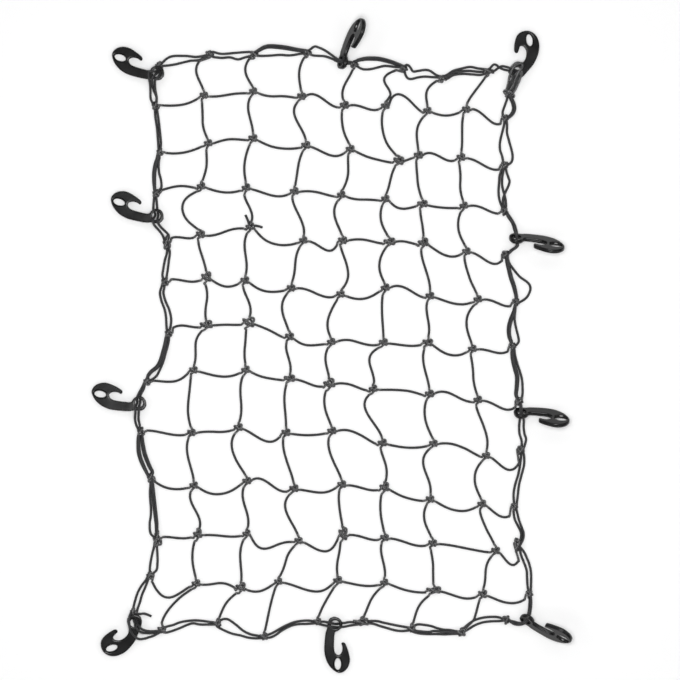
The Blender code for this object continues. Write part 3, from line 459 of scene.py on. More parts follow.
# At the edge the bight's legs and the end of the other cord are tucked under the turns.
EDGE_BIGHT = ((-0.1, -0.1, 0.6), (-0.8, -0.45, 0.7), *BIGHT[2:9], (-0.8, 0.45, 0.7), (-0.1, 0.1, 0.6))
EDGE_WRAP = (*WRAP[:-1], (0.5, 1.2, 1.2), (0.3, 0.7, 0.5))
DRAWN_IN = 1.02  # the width that the turns are laid out in, of the cord's
TIED_RADIUS = 0.00184  # the cord is squeezed where it is tied
LAID_CLOSE = 0.92  # share of their height that turns keep where they press together
OFF_FLOOR = 0.0001  # metres under the lowest turn
SWAY = 10  # degrees that a knot lies turned, at most, to either side
SMALLEST, LARGEST = 0.93, 1.09  # size of a knot beside the usual one
rng = np.random.default_rng(7)


def turned_in(turns, name, facing=0.0):
    """World points of the turns of one knot.  They are turned 45 degrees from the bend's
    own axes, by the side it faces and by its own slight sway, sized to the cord and
    stretched to the knot's reach."""
    turns = np.asarray(turns)
    sway, scale = knot_sway[name]
    wide, tall = LONG_KNOTS.get(name, (ROUND_REACH, ROUND_REACH))
    spin = sway + math.pi / 4 + facing
    right = turns[:, 0] * math.cos(spin) + turns[:, 1] * math.sin(spin)
    up = turns[:, 0] * math.sin(spin) - turns[:, 1] * math.cos(spin)
    size = CORD * DRAWN_IN * scale
    local = np.stack((right * size * wide / ROUND_REACH, up * size * tall / ROUND_REACH,
                      np.maximum(turns[:, 2] * CORD * LAID_CLOSE, TIED_RADIUS + OFF_FLOOR)), axis=1)
    return place(seats[name], 0.0) + local


LED_FROM = (8.0 * STEP, 7.0 * STEP)  # from a knot's middle to where its turns begin


def led(line, outward):
    """The two points at which a cord passes into a knot's turns, in the order in which
    the cord runs."""
    points = [along_from(line, far) for far in LED_FROM]
    return points[::-1] if outward else points


def tied(turns, names, line_in, line_out):
    """World paths of one cord through many knots: in along a mesh cord, round the turns
    of the bend, out along another mesh cord."""
    return np.stack([np.concatenate((led(comes, False), turned_in(turns, name), led(goes, True)))
                     for name, comes, goes in zip(names, line_in, line_out)])


inner = [c + str(r) for c in COLUMNS[1:8] for r in range(1, 12)]
knot_sway = {name: (math.radians(rng.uniform(-SWAY, SWAY)), rng.uniform(SMALLEST, LARGEST))
             for name in knots}


def meeting(name, dc, dr):
    """The fine line that leaves a knot towards its neighbour so many columns and rows
    away, from the knot outwards."""
    other = COLUMNS[COLUMNS.index(name[0]) + dc] + str(int(name[1:]) + dr)
    return mesh_lines[(name, other)] if dc + dr > 0 else mesh_lines[(other, name)][::-1]


ways = {side: [meeting(name, *step) for name in inner]
        for side, step in (("left", (-1, 0)), ("right", (1, 0)), ("up", (0, -1)), ("down", (0, 1)))}
KNOT_RINGS = 48
SQUEEZED_BY = 0.12  # share of the turns over which the cord gets its tied width
share = np.linspace(0, 1, KNOT_RINGS)
swell = np.interp(share, (0, SQUEEZED_BY, 1 - SQUEEZED_BY, 1), (RADIUS, TIED_RADIUS, TIED_RADIUS, RADIUS))
swell = np.tile(swell, (len(inner), 1))
knot_turns = [carried(smoothed(tied(turns, inner, ways[a], ways[b]), KNOT_RINGS), swell, 10)
              for turns, a, b in ((BIGHT, "left", "down"), (WRAP, "up", "right"))]
mesh_knots = cord_mesh("mesh_knots", knot_turns, [cover, drawn_cover])
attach(mesh_knots, "root")
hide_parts("net")

# ------------------------------------------------------------
# The edge cords.  Two to four lengths of the same shock cord run side by side round the
# net from knot to knot; where a hook hangs, they go through its eye.

# One row for each length of cord between two edge knots: knots, how far apart the two
# cords of a pair lie (0: one cord), then the spots on its way (steps, and the height in
# millimetres where it leaves the floor).
EDGE_LANES = (
    ("A0", "B0", 0, (170, 57), (185, 56), (197, 57)),
    ("A0", "B0", 0, (164, 66), (175, 64.5), (190, 61), (200, 60)),
    ("B0", "C0", 0, (213, 52), (222, 54), (235, 53), (250, 52)),
    ("B0", "C0", 0, (213, 57), (222, 58), (230, 57.5), (238, 59.5), (245, 57.5)),
    ("C0", "D0", 2.2, (259, 50.5), (265, 47.3), (272, 46.5), (285, 47.8), (297, 50)),
    ("C0", "D0", 0, (259, 56), (270, 55.7), (280, 55), (290, 55.5), (300, 54)),
    ("D0", "E0", 0, (314, 46.8), (318, 47.3), (325, 50.5, 2.6), (332, 55.5, 6.0), (337, 59.3, 10.5),
     (343, 61.3, 12.6), (348.5, 62.2, 10.5), (352, 62.5, 6)),
    ("D0", "E0", 0, (313, 55.5), (320, 56), (325, 56.5, 2.6), (332, 59, 5.0), (337, 61.6, 7.6),
     (343, 62.9, 9.0), (348.5, 63.8, 7.0), (352, 64, 4)),
    ("E0", "F0", 2.0, (358, 60.5), (362, 59.5), (367, 58.8), (374, 58.8), (380, 59.3), (390, 61.8),
     (399, 65)),
    ("E0", "F0", 0, (358, 67), (363, 69.3), (370, 69.3), (378, 67.5), (385, 66), (395, 67)),
    ("F0", "G0", 0, (407, 65), (410, 67), (413, 71.5), (418, 71), (425, 70), (430, 71), (437, 75.5)),
    ("F0", "G0", 0, (404.5, 71), (405.5, 75), (408, 78.5), (412, 79), (418, 77.5), (425, 76.7),
     (433, 77.3)),
    ("G0", "H0", 0, (447, 75), (453, 71), (460, 69), (470, 67), (478, 68.5)),
    ("G0", "H0", 0, (447, 77), (455, 72.5), (462, 71.3), (470, 71), (480, 72)),
    ("G0", "H0", 0, (447, 79), (453, 75.5), (462, 74), (472, 74.5), (481, 75)),
    ("H0", "I0", 0, (492.5, 65.5), (494.5, 64.5), (497, 65.5), (500, 68), (505, 70, 2.1), (510, 70.8, 2.1),
     (514.5, 72, 5.5), (514, 76, 12.2), (512, 80, 14), (509.6, 86, 9), (507.5, 91, 5)),
    ("H0", "I0", 0, (494, 71), (497, 69), (500, 67), (503, 66.3, 2.1), (508, 67.5, 2.1), (513, 69.5, 2.6),
     (518, 72, 5.5), (518, 76, 12.2), (516.6, 81, 14), (514.5, 86, 9), (511, 91, 5)),
    ("I0", "I1", 0, (507, 99), (505, 105), (502.5, 113)),
    ("I0", "I1", 2.0, (510, 97), (513, 103), (514, 109), (512, 114)),
    ("I1", "I2", 0, (504, 125), (502, 133), (500, 142), (500, 150), (502, 156)),
    ("I1", "I2", 0, (507, 125), (507, 133), (509, 141), (511.5, 150), (512.5, 156), (511.5, 162)),
    ("I2", "I3", 0, (500, 174), (499, 183), (498.5, 192), (499.5, 200)),
    ("I2", "I3", 0, (503, 172), (502, 180), (502.5, 188), (505, 197), (506, 205)),
    ("I2", "I3", 0, (506.5, 172), (508.5, 178), (509.5, 182), (507.5, 188), (505, 193), (503, 200)),
    ("I3", "I4", 0, (508, 217), (512, 223, 4), (514, 230, 11), (516.2, 238, 14.5), (516, 246, 11),
     (510.5, 250.5, 3.5)),
    ("I3", "I4", 0, (509, 216), (513.5, 223, 3), (516, 230, 7.5), (517, 239, 10.5), (517.5, 246, 7.5),
     (512, 250.5, 3)),
    ("I4", "I5", 2.0, (507, 262), (509, 270), (511, 278), (514, 287), (516, 296)),
    ("I4", "I5", 0, (509, 263), (514, 270), (520, 277), (527, 282), (530, 286), (530, 291), (527, 297),
     (522, 301)),
    ("I5", "I6", 2.0, (514, 311), (511, 319), (509, 327), (509, 335), (511, 342)),
    ("I5", "I6", 0, (515, 311), (514.5, 319), (516, 328), (518, 336), (518.5, 342)),
    ("I6", "I7", 2.0, (512, 353), (513, 361), (515, 369), (517, 377), (516.5, 388), (516, 395)),
    ("I6", "I7", 0, (515, 355), (517, 363), (520, 372), (522, 380), (522.5, 388), (522.5, 394)),
    ("I7", "I8", 0, (520, 405, 9), (520.2, 413, 14.2), (519.4, 420, 9.5), (519, 427, 3), (519.5, 434),
     (521.5, 441)),
    ("I7", "I8", 0, (521, 405, 5), (522, 413, 10.4), (523.6, 420, 6.5), (523.6, 427), (524.5, 434),
     (526, 440)),
    ("I8", "I9", 0, (521, 456), (520, 465), (518, 475), (515, 485), (513.5, 495)),
    ("I8", "I9", 0, (524, 456), (524, 465), (521.5, 475), (519, 485), (517.8, 495)),
    ("I9", "I10", 0, (513.5, 512), (515, 520), (518, 526), (521, 533), (520.5, 540)),
    ("I9", "I10", 0, (517, 512), (519, 520), (521.5, 527), (523.5, 533), (523, 539)),
    ("I10", "I11", 0, (521, 555), (523.7, 562), (526.5, 570), (527, 578), (527.5, 586)),
    ("I10", "I11", 0, (524, 552), (527.3, 559), (529.5, 565), (531, 573), (531, 584)),
    ("I11", "I12", 0, (529.5, 602), (528.5, 610, 11), (526.4, 618, 15.4), (521, 622.5, 11),
     (514, 621.5, 3)),
    ("I11", "I12", 0, (531, 602), (530.3, 610, 6.5), (528, 619, 11.2), (522, 624, 7), (514.5, 624, 3)),
    ("A0", "A1", 0, (159, 66.5, 2.1), (158.5, 70, 5), (155, 72, 12.5), (149.5, 72.5, 15.2), (149, 76.5, 15),
     (150.3, 84, 10), (150.5, 91, 3), (150.8, 99)),
    ("A0", "A1", 0, (160.5, 67.5, 2.1), (159.5, 71.5, 5), (155.8, 75, 13), (152.6, 79, 15.4),
     (152.6, 85, 10), (154, 91, 3), (156.8, 98)),
    ("A0", "A1", 0, (161.5, 69, 6), (161, 72.5, 9), (159, 77, 13), (155.6, 80.5, 15), (155.2, 85, 9.5),
     (155.6, 91, 3.2), (156.8, 98)),
    ("A1", "A2", 0, (155, 111), (155.5, 118), (157, 128), (158, 140)),
    ("A1", "A2", 0, (157.5, 112), (159, 123), (160.3, 135), (161, 144)),
    ("A2", "A3", 2.0, (157.5, 158), (155.5, 165), (154.3, 173), (154.2, 180), (154.5, 186)),
    ("A2", "A3", 0, (159.5, 158), (158.7, 165), (159.2, 173), (161, 180), (161.5, 187), (159.5, 190)),
    ("A3", "A4", 0, (154, 199), (153.5, 205, 2.1), (153.5, 210, 2.1), (155.5, 215, 6.5), (153.5, 220, 14.2),
     (154.5, 225, 14.6), (160, 231.5, 6), (163, 236, 3)),
    ("A3", "A4", 0, (156.5, 199), (157, 205, 2.1), (157.5, 210, 2.1), (158.5, 215, 6.5), (157.8, 221, 14.2),
     (160.5, 226.5, 14.2), (166, 232, 6), (169, 236, 3)),
    ("A4", "A5", 0, (167, 252), (165, 260), (163.5, 268), (162.5, 275)),
    ("A4", "A5", 0, (169.8, 252), (169, 260), (168, 268), (167, 275)),
    ("A5", "A6", 0, (161.5, 287), (160, 293), (161.5, 301), (164.5, 309), (166, 317), (166.5, 326)),
    ("A5", "A6", 0, (164.5, 287), (163.5, 293), (165.5, 301), (169, 309), (171, 317), (171, 324)),
    ("A6", "A7", 2.0, (166, 339), (165, 345), (163, 353), (160.5, 361), (157, 367), (151.5, 371.5),
     (148, 376)),
    ("A6", "A7", 0, (169, 339), (168, 345), (165.8, 353), (163.3, 362), (159.8, 370), (156.5, 376),
     (152, 379.5)),
    ("A7", "A8", 0, (142, 387.5), (138.5, 394, 2.1), (137, 398, 2.1), (137.5, 402, 5.5), (135.8, 407, 13),
     (135.8, 412, 13.6), (135.2, 419, 7), (136.3, 425, 2.4)),
    ("A7", "A8", 0, (144, 388.5), (141, 394, 2.1), (140.3, 398, 2.1), (140.5, 402, 5.5), (139.4, 407, 13),
     (139.2, 412, 13.6), (138.8, 419, 7), (139.8, 425, 2.4)),
    ("A8", "A9", 2.0, (138.5, 438), (138.5, 446), (139, 453), (141, 460), (144, 467), (147, 473)),
    ("A8", "A9", 2.0, (142, 437), (143, 445), (144.5, 453), (147, 460), (150, 467), (152.5, 472)),
    ("A9", "A10", 0, (150.5, 484), (150, 492), (150.3, 500), (151, 508), (150.8, 516), (149.8, 523),
     (150.5, 533)),
    ("A9", "A10", 2.0, (152.5, 484), (153.2, 491), (154, 500), (155, 509), (156, 518), (156.7, 526)),
    ("A10", "A11", 0, (154, 547), (152.5, 553), (151, 560), (150, 567)),
    ("A10", "A11", 0, (157, 547), (157.5, 555), (157.5, 563), (156.5, 570)),
    ("A11", "B12", 0, (146, 580), (142, 585), (138, 592), (135.3, 600), (133.6, 607, 2.1), (133, 613, 2.1),
     (133.3, 618, 2.6), (135, 622.5, 5.5), (136.5, 627.5, 12), (141, 631.5, 12), (147, 633, 5), (153, 633)),
    ("A11", "B12", 0, (148, 580), (145, 588), (142, 595), (140, 602, 2.2), (137.6, 609, 2.1),
     (136.6, 614, 2.1), (136.3, 618.5, 3), (137.2, 622, 6), (139.8, 626.5, 12.3), (144, 629.6, 11),
     (149.5, 631, 4), (154, 631)),
    ("A12", "B12", 0, (129.8, 616.5, 12), (129.6, 623, 13), (131, 630, 13.2), (134.4, 635.3, 12.8),
     (139, 638.5, 9.5), (144, 638.6, 4), (149, 637.2), (154, 635.5)),
    ("B12", "C12", 0, (167, 626.5), (173, 625), (180, 622.3), (188, 620.8), (196, 620.3), (204, 621)),
    ("B12", "C12", 0, (165.5, 632.5), (172, 631), (180, 628), (187, 625), (193, 623.3), (201, 624.5)),
    ("C12", "D12", 0, (222, 619.5), (227, 619), (231, 621), (237, 625.5), (243, 630.5), (250, 634),
     (257, 635.5)),
    ("C12", "D12", 0, (218, 627), (224, 630.2), (232, 633.5), (241, 635.5), (248, 637.5), (256, 638.3)),
    ("D12", "E12", 0, (270, 634), (276, 631), (281, 628), (287, 625), (293, 622.5), (300, 621),
     (308, 620.5)),
    ("D12", "E12", 0, (270, 637.5), (276, 634.8), (281, 631), (287, 627.5), (293, 625), (300, 624),
     (308, 623.8)),
    ("F12", "E12", 0, (350, 622, 2.1), (345, 622.8, 2.1), (340.5, 623.2, 2.4), (336.5, 623.6, 7),
     (332, 622.8, 12.6), (328, 621.8, 13.6), (323.5, 621.4, 6)),
    ("F12", "E12", 0, (350, 625.5, 2.1), (345, 626.6, 2.1), (340.5, 627, 2.4), (336.5, 627, 7),
     (332, 626.4, 12.6), (328, 625.6, 13.6), (323, 624.8, 6)),
    ("F12", "G12", 0, (370, 621), (377, 621), (383, 622.5), (390, 624), (397, 625.5)),
    ("F12", "G12", 0, (372, 623.5), (380, 626), (387, 628), (394, 630), (402, 631)),
    ("G12", "H12", 0, (417, 624.5), (424, 624.8), (431, 626), (437, 628), (443, 629.5), (450, 630)),
    ("G12", "H12", 0, (414, 632), (420, 633.5), (428, 634), (436, 634), (444, 634.3), (450, 634)),
    ("G12", "H12", 0, (419, 631), (428, 631.8), (434, 631), (442, 631.5), (450, 632)),
    ("H12", "I12", 0, (466, 626), (472, 621.5), (478, 618.8), (485, 617.3), (492, 616.8), (499, 617.3)),
    ("H12", "I12", 0, (466, 630.5), (471, 627.5), (476, 624.7), (483, 622.3), (491, 621.3), (499, 621)),
)

THROUGH_KNOT = 4.6  # millimetres up: edge cords inside a knot ride over its lower turn
# A cord passes beside its knot's middle by this share of its way's offset, and by so
# many steps at most.
LEANS, ASIDE = 0.45, 1.25
EDGE_RINGS = 40


def lanes_of(row):
    """World points of one or two lengths of edge cord.  The way gets its two knots'
    middles and, where none is given, the height of a cord on the floor; a pair lies half
    its spread to either side, along the level normal of the way."""
    start, end, spread, *way = row
    ends = []
    for name, nearest in ((start, way[0]), (end, way[-1])):
        aside = np.clip((np.array(nearest[:2]) - seats[name]) * LEANS, -ASIDE, ASIDE)
        aside[1 if name[0] in "AI" else 0] = 0.0
        ends.append((*(np.array(seats[name]) + aside), THROUGH_KNOT))
    way = [ends[0]] + list(way) + [ends[1]]
    spots = np.array([tuple(p) if len(p) == 3 else (p[0], p[1], RADIUS * 1000) for p in way])
    line = smoothed([place(spots)], EDGE_RINGS)[0]
    if not spread:
        return [line]
    ahead = unit(np.gradient(line[:, :2], axis=0))
    aside = np.stack((-ahead[:, 1], ahead[:, 0], np.zeros(len(line))), axis=1)
    open_up = np.sin(np.linspace(0, math.pi, len(line)))[:, None] ** 0.5
    return [line + aside * open_up * spread * STEP * k for k in (-0.5, 0.5)]


LIES_LOW = 0.004  # only a cord below this is lifted
CARRIES = 0.005  # and only over one below this
LIFTS = 0.0045  # by this at most


def stacked(lines):
    """Lines lifted where a later cord lies less than a cord's width from an earlier one
    in plan: to that one's height plus the root of the width squared less the distance
    squared, then evened over seven points."""
    laid = []
    for line in lines:
        line = line.copy()
        if laid:
            under = np.concatenate(laid)
            near = lengths(line[:, None, :2] - under[None, :, :2])
            over = under[None, :, 2] + np.sqrt(np.clip(CORD ** 2 - near ** 2, 0, None))
            need = np.where((near < CORD) & (under[None, :, 2] < CARRIES), over, 0).max(axis=1)
            low = line[:, 2] < LIES_LOW
            line[:, 2] += evened(np.where(low, np.clip(need - line[:, 2], 0, LIFTS), 0), 7)
        laid.append(line)
    return laid


edge_lines = stacked([line for row in EDGE_LANES for line in lanes_of(row)])
edge_cords = carried(smoothed(np.stack(edge_lines), EDGE_RINGS), RADIUS, 10)

# ------------------------------------------------------------
# The edge knots.  The mesh cord is bent round the edge cords and drawn tight, which
# gathers them into one bundle.

def facing_in(name):
    """How far the bend is turned at an edge knot, so that its mesh cord comes from
    inside the net: nothing at the near edge, half a turn at the far edge, a quarter at
    the sides."""
    if name[0] in "AI":
        return -math.pi / 2 if name[0] == "A" else math.pi / 2
    return 0.0 if name[1:] == "12" else math.pi


# The corner knots have no mesh cord: a bight and a turn tucked under itself.
rim = [name for name in seats if name not in inner]
entering = {end: line[::-1] if end == pair[1] else line for pair, line in mesh_lines.items()
            for end in pair if end in rim}
led_in = [np.concatenate((led(line, False), turned_in(EDGE_WRAP, name, facing_in(name))))
          for name, line in entering.items()]
tucked = [turned_in(EDGE_WRAP[1:], name, facing_in(name)) for name in rim if name not in entering]
bights = [turned_in(EDGE_BIGHT, name, facing_in(name)) for name in rim]
LED_RINGS, TUCKED_RINGS, BIGHT_RINGS = 46, 40, 28
drawn_up = np.interp(np.linspace(0, 1, LED_RINGS), (0, SQUEEZED_BY, 1), (RADIUS, TIED_RADIUS, TIED_RADIUS))
edge_turns = [carried(smoothed(np.stack(led_in), LED_RINGS), np.tile(drawn_up, (len(led_in), 1)), 10)]
edge_turns += [carried(smoothed(np.stack(group), count), TIED_RADIUS, 10)
               for group, count in ((tucked, TUCKED_RINGS), (bights, BIGHT_RINGS))]

# The knot under the far right hook: the edge cord is wound back on itself from the eye
# down, so that four turns lie over one another in one long bundle.
BUNDLE = (
    ((506, 95, 3), (508, 89, 6), (511, 82, 9), (514.5, 76, 12.5), (519, 71.2, 14.5), (521.5, 72.8, 14),
     (520, 78, 12.5), (517.3, 85, 9.5), (513.6, 92, 6), (509, 96, 4), (505.5, 95, 3.5)),
    ((523, 67, 9), (521.5, 64, 13.5), (517, 65, 15.2), (512.5, 69.5, 14.5), (509.5, 76, 11), (508, 84, 8),
     (506, 92, 5), (507, 97, 2.5)),
    ((509, 73, 4), (511.5, 67.2, 10.5), (517, 63.2, 14), (522, 66.3, 15.5), (519, 71.5, 18), (515.5, 78, 14),
     (513, 85, 11.5), (509.5, 92, 8.5), (510.5, 97, 4)),
    ((503.6, 92, 3.4), (505.5, 90.6, 7.4), (509, 91.6, 11.2), (513, 94.5, 8), (513.6, 97, 4),
     (510, 97.4, 2.5), (505, 95.6, 3)),
)
bundle = carried(np.concatenate([smoothed([place(way)], 44) for way in BUNDLE]), RADIUS, 10)

# Loose cut ends left beside two knots.
LOOSE_ENDS = (
    ((249.5, 226, 6.5), (248.5, 222, 4), (247, 218.5, 2.6), (245.5, 215, 2.0)),
    ((251.5, 227, 5.5), (255, 225.8, 3.5), (259, 226.4, 2.5), (262.5, 227.6, 2.0)),
    ((135, 613.5, 5.0), (139, 613.8, 5.2), (145, 613.6, 4.2), (151.5, 616.2, 3.0)),
)
loose_ends = carried(np.concatenate([smoothed([place(way)], 16) for way in LOOSE_ENDS]), RADIUS, 10)
free_cord = [mesh_cords, edge_cords, loose_ends]
tied_cord = [*edge_turns, bundle]
net_cords = cord_mesh("net_cords", free_cord + tied_cord, [cover, drawn_cover], len(free_cord))
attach(net_cords, "root")
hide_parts("net")

# ------------------------------------------------------------
# The ten hooks.  Each is moulded in one piece of black nylon: a flat arm with a round eye
# at one end, where the edge cords go through, and a curved head with an oval hole.  Eight
# are straight, two are bent; four lie rolled on to their back edge.

# Outline of a straight hook, steps from the middle of its eye: along it, and towards
# its beak.
STRAIGHT_HOOK = (
    (-7.7, -1.5), (-6.0, -5.2), (-2.4, -7.2), (3.5, -7.9), (8.0, -9.4), (17.0, -10.5),
    (27.0, -10.8), (35.0, -9.2), (41.5, -5.8), (46.0, -1.5), (48.6, 3.5), (47.6, 8.2),
    (43.5, 12.4), (37.0, 14.6), (29.0, 13.6), (19.2, 9.9), (18.8, 6.3), (22.5, 7.2),
    (27.0, 6.9), (30.4, 4.8), (30.6, 1.8), (27.0, -0.8), (20.0, -1.3), (8.5, -0.4),
    (6.2, 3.2), (2.6, 6.5), (-2.6, 6.7), (-6.2, 3.4),
)

# Outline of a bent hook, whose arm turns towards the beak before the head.
BENT_HOOK = (
    (-8.5, -0.5), (-6.8, -5.4), (-2.5, -7.5), (3.0, -6.9), (8.5, -4.8), (16.5, -1.5),
    (22.0, 2.0), (27.0, 6.5), (31.0, 12.0), (33.3, 18.5), (32.8, 25.5), (29.2, 30.8),
    (23.5, 33.3), (17.5, 32.8), (12.0, 28.2), (6.9, 19.8), (8.6, 16.6), (11.5, 19.0),
    (14.2, 21.3), (17.2, 19.6), (17.6, 14.5), (15.0, 9.6), (11.0, 6.3), (5.8, 5.6),
    (-2.5, 7.2), (-6.8, 4.6),
)

# Oval hole in the head: middle along and towards the beak, half length, half width,
# and how far it is turned towards the beak, degrees.
STRAIGHT_OVAL = (39.8, 2.6, 5.8, 3.1, 0.0)
BENT_OVAL = (25.4, 22.6, 5.8, 3.0, 72.0)
EYE_HOLE = 4.3  # radius of the eye's hole, steps

# The ten hooks: name, outline, eye x, eye y (steps), heading of the arm (degrees,
# anticlockwise from the right), side of the beak (+1 left of the arm), roll on to its
# back edge, and how far the eye (flat hook) or the head (rolled hook) is raised, degrees.
HOOKS = (
    ("hook_far_left", "straight", 157.2, 73.0, 161.5, -1, 0, 5.0),
    ("hook_far_middle", "straight", 342.9, 62.5, 75.5, -1, 60, 16.0),
    ("hook_far_right", "bent", 517.0, 72.0, 27.0, 1, 0, 4.6),
    ("hook_right_upper", "straight", 516.2, 239.0, -5.5, -1, 57, 6.0),
    ("hook_right_lower", "straight", 521.0, 413.2, -2.8, -1, 54, 6.0),
    ("hook_near_right", "straight", 527.0, 619.0, -30.5, 1, 58, 5.0),
    ("hook_near_middle", "straight", 335.2, 624.0, -90.0, 1, 0, 3.8),
    ("hook_near_left", "bent", 134.5, 622.5, -90.0, -1, 0, 4.6),
    ("hook_left_lower", "straight", 139.2, 403.0, 170.8, -1, 0, 4.2),
    ("hook_left_upper", "straight", 156.6, 216.0, 163.5, -1, 0, 5.0),
)


def both_faces(section):
    """A rim section from the upper face to the middle, and its mirror image below."""
    return section + tuple((drawn, -height) for drawn, height in section[::-1])


# Section of the rim: how far it is drawn in from the outline, height from the middle
# (metres).  Flat land, rounded edge, drafted side, and the proud line where the two
# halves of the mould met.
RIM = both_faces(((0.0020, 0.0035), (0.0014, 0.00349), (0.0006, 0.0032), (0.00015, 0.0027),
                  (0.0, 0.0020), (0.0003, 0.0006), (-0.0001, 0.0003)))
HOLE_RIM = both_faces(((0.0014, 0.0035), (0.0007, 0.00348), (0.0002, 0.0031), (0.0, 0.0025)))
# The oval hole is moulded from both faces, so it opens like a funnel to either side.
OVAL_RIM = both_faces(((0.0030, 0.0035), (0.0024, 0.00346), (0.0020, 0.0032), (0.0010, 0.0018),
                       (0.0001, 0.0004)))


def moulded_nylon(name):
    """Glass-filled nylon moulded against a fine spark-eroded tool: even black, satin, with
    a grain of about half a millimetre and slow unevenness where the melt cooled, so that
    the highlight breaks up softly."""
    material, tree, shader = new_material(name)
    shader.inputs["Base Color"].default_value = linear("#050506")
    shader.inputs["IOR"].default_value = 1.53
    shader.inputs["Specular IOR Level"].default_value = 0.36
    where = node(tree, "TexCoord")
    grain = node(tree, "TexNoise", links={"Vector": (where, "Object")},
                 values={"Scale": 1600.0, "Detail": 2.0})
    flow = node(tree, "TexNoise", links={"Vector": (where, "Object")},
                values={"Scale": 45.0, "Detail": 3.0})
    rough = node(tree, "MapRange", links={"Value": (flow, 0)},
                 values={"From Min": 0.3, "From Max": 0.7, "To Min": 0.17, "To Max": 0.25})
    tree.links.new(rough.outputs[0], shader.inputs["Roughness"])
    height = node(tree, "Math", {"operation": "MULTIPLY_ADD"},
                  {0: (flow, 0), 2: (grain, 0)}, {1: 3.0})
    bump = node(tree, "Bump", links={"Height": (height, 0)},
                values={"Strength": 0.07, "Distance": 0.0001})
    tree.links.new(bump.outputs[0], shader.inputs["Normal"])
    return material


FINE_ROUND = 60  # fine points between two given ones of an outline


def closed_curve(points, count):
    """Evenly spaced points round a closed Catmull-Rom curve through the points: three
    rounds are smoothed as an open line, and one whole round is cut from it, between the
    two places nearest to the first point."""
    points = np.asarray(points, dtype=float) * STEP
    wrapped = np.concatenate((points, points, points))
    flat = np.concatenate((wrapped, np.zeros((len(wrapped), 1))), axis=1)
    line = smoothed([flat], (len(flat) - 1) * FINE_ROUND + 1)[0][:, :2]
    half = len(line) // 2
    first = int(np.argmin(lengths(line - points[0])[:half + FINE_ROUND]))
    past = first + FINE_ROUND
    gaps = lengths(line - line[first])
    last = past + int(np.argmin(gaps[past:past + half]))
    loop = line[first:last + 1]
    run = np.concatenate(([0], lengths(np.diff(loop, axis=0)).cumsum()))
    want = np.linspace(0, run[-1], count, endpoint=False)
    return np.stack([np.interp(want, run, loop[:, i]) for i in range(2)], axis=1)


def inward(loop):
    """Unit vectors square to a closed anticlockwise loop, pointing inside: its tangent,
    from the difference of the neighbours, turned a quarter to the left."""
    ahead = unit(np.roll(loop, -1, axis=0) - np.roll(loop, 1, axis=0))
    return np.stack((-ahead[:, 1], ahead[:, 0]), axis=1)


BEND_OVER = 6  # points each way over which a bend is measured
NEIGHBOURS = 9  # points that don't count as the side facing it
TO_FACING = 0.6  # share of the way to the facing side that counts as a bend's radius
LEAST_OF = 7  # points each way of which the least room is taken
OF_BEND = 0.7  # share of the radius that can be used


def room(loop):
    """How far a closed loop can be drawn in at each point without folding: a share of the
    radius of its bend, which is the step length over the change of direction, or of the
    way to the side facing it if that is less; the least of the points near by, evened."""
    ahead = np.roll(loop, -BEND_OVER, axis=0) - loop
    behind = loop - np.roll(loop, BEND_OVER, axis=0)
    crossed = ahead[:, 0] * behind[:, 1] - ahead[:, 1] * behind[:, 0]
    turn = np.abs(np.arctan2(crossed, (ahead * behind).sum(axis=1)))
    bend = lengths(ahead + behind) / 2 / np.maximum(turn, 1e-3)
    apart = lengths(loop[:, None] - loop[None])
    steps = np.abs(np.arange(len(loop))[:, None] - np.arange(len(loop)))
    apart[np.minimum(steps, len(loop) - steps) < NEIGHBOURS] = np.inf
    bend = np.minimum(bend, apart.min(axis=1) * TO_FACING)
    near = np.min([np.roll(bend, k) for k in range(-LEAST_OF, LEAST_OF + 1)], axis=0)
    return evened(near, 9, "wrap") * OF_BEND


def oval(middle_a, middle_b, long, wide, lean, count):
    """Ellipse in the hook's plane, turned by lean degrees."""
    t = np.linspace(0, 2 * math.pi, count, endpoint=False)
    a, b, lean = long * np.cos(t), wide * np.sin(t), math.radians(lean)
    return np.stack((middle_a + a * math.cos(lean) - b * math.sin(lean),
                     middle_b + a * math.sin(lean) + b * math.cos(lean)), axis=1) * STEP


def hook_axes(row):
    """Eye's middle, and unit vectors along, towards the beak and out of the plate."""
    x, y, heading, side, roll, rise = row[2:]
    turn, tip, lift = math.radians(heading), math.radians(roll), math.radians(rise)
    along = np.array((math.cos(turn), math.sin(turn), 0.0))
    across = np.array((-along[1], along[0], 0.0)) * side
    if roll:
        beak = across * math.cos(tip) + np.array((0.0, 0.0, math.sin(tip)))
        out = np.cross(along, beak) * side
        raised = along * math.cos(lift) + beak * math.sin(lift)
        return place((x, y), 0.0), raised, beak * math.cos(lift) - along * math.sin(lift), out
    along = along * math.cos(lift) - np.array((0.0, 0.0, math.sin(lift)))
    return place((x, y), 0.0), along, across, np.cross(along, across) * side


OUTLINE_POINTS, EYE_POINTS, OVAL_POINTS = 220, 48, 40


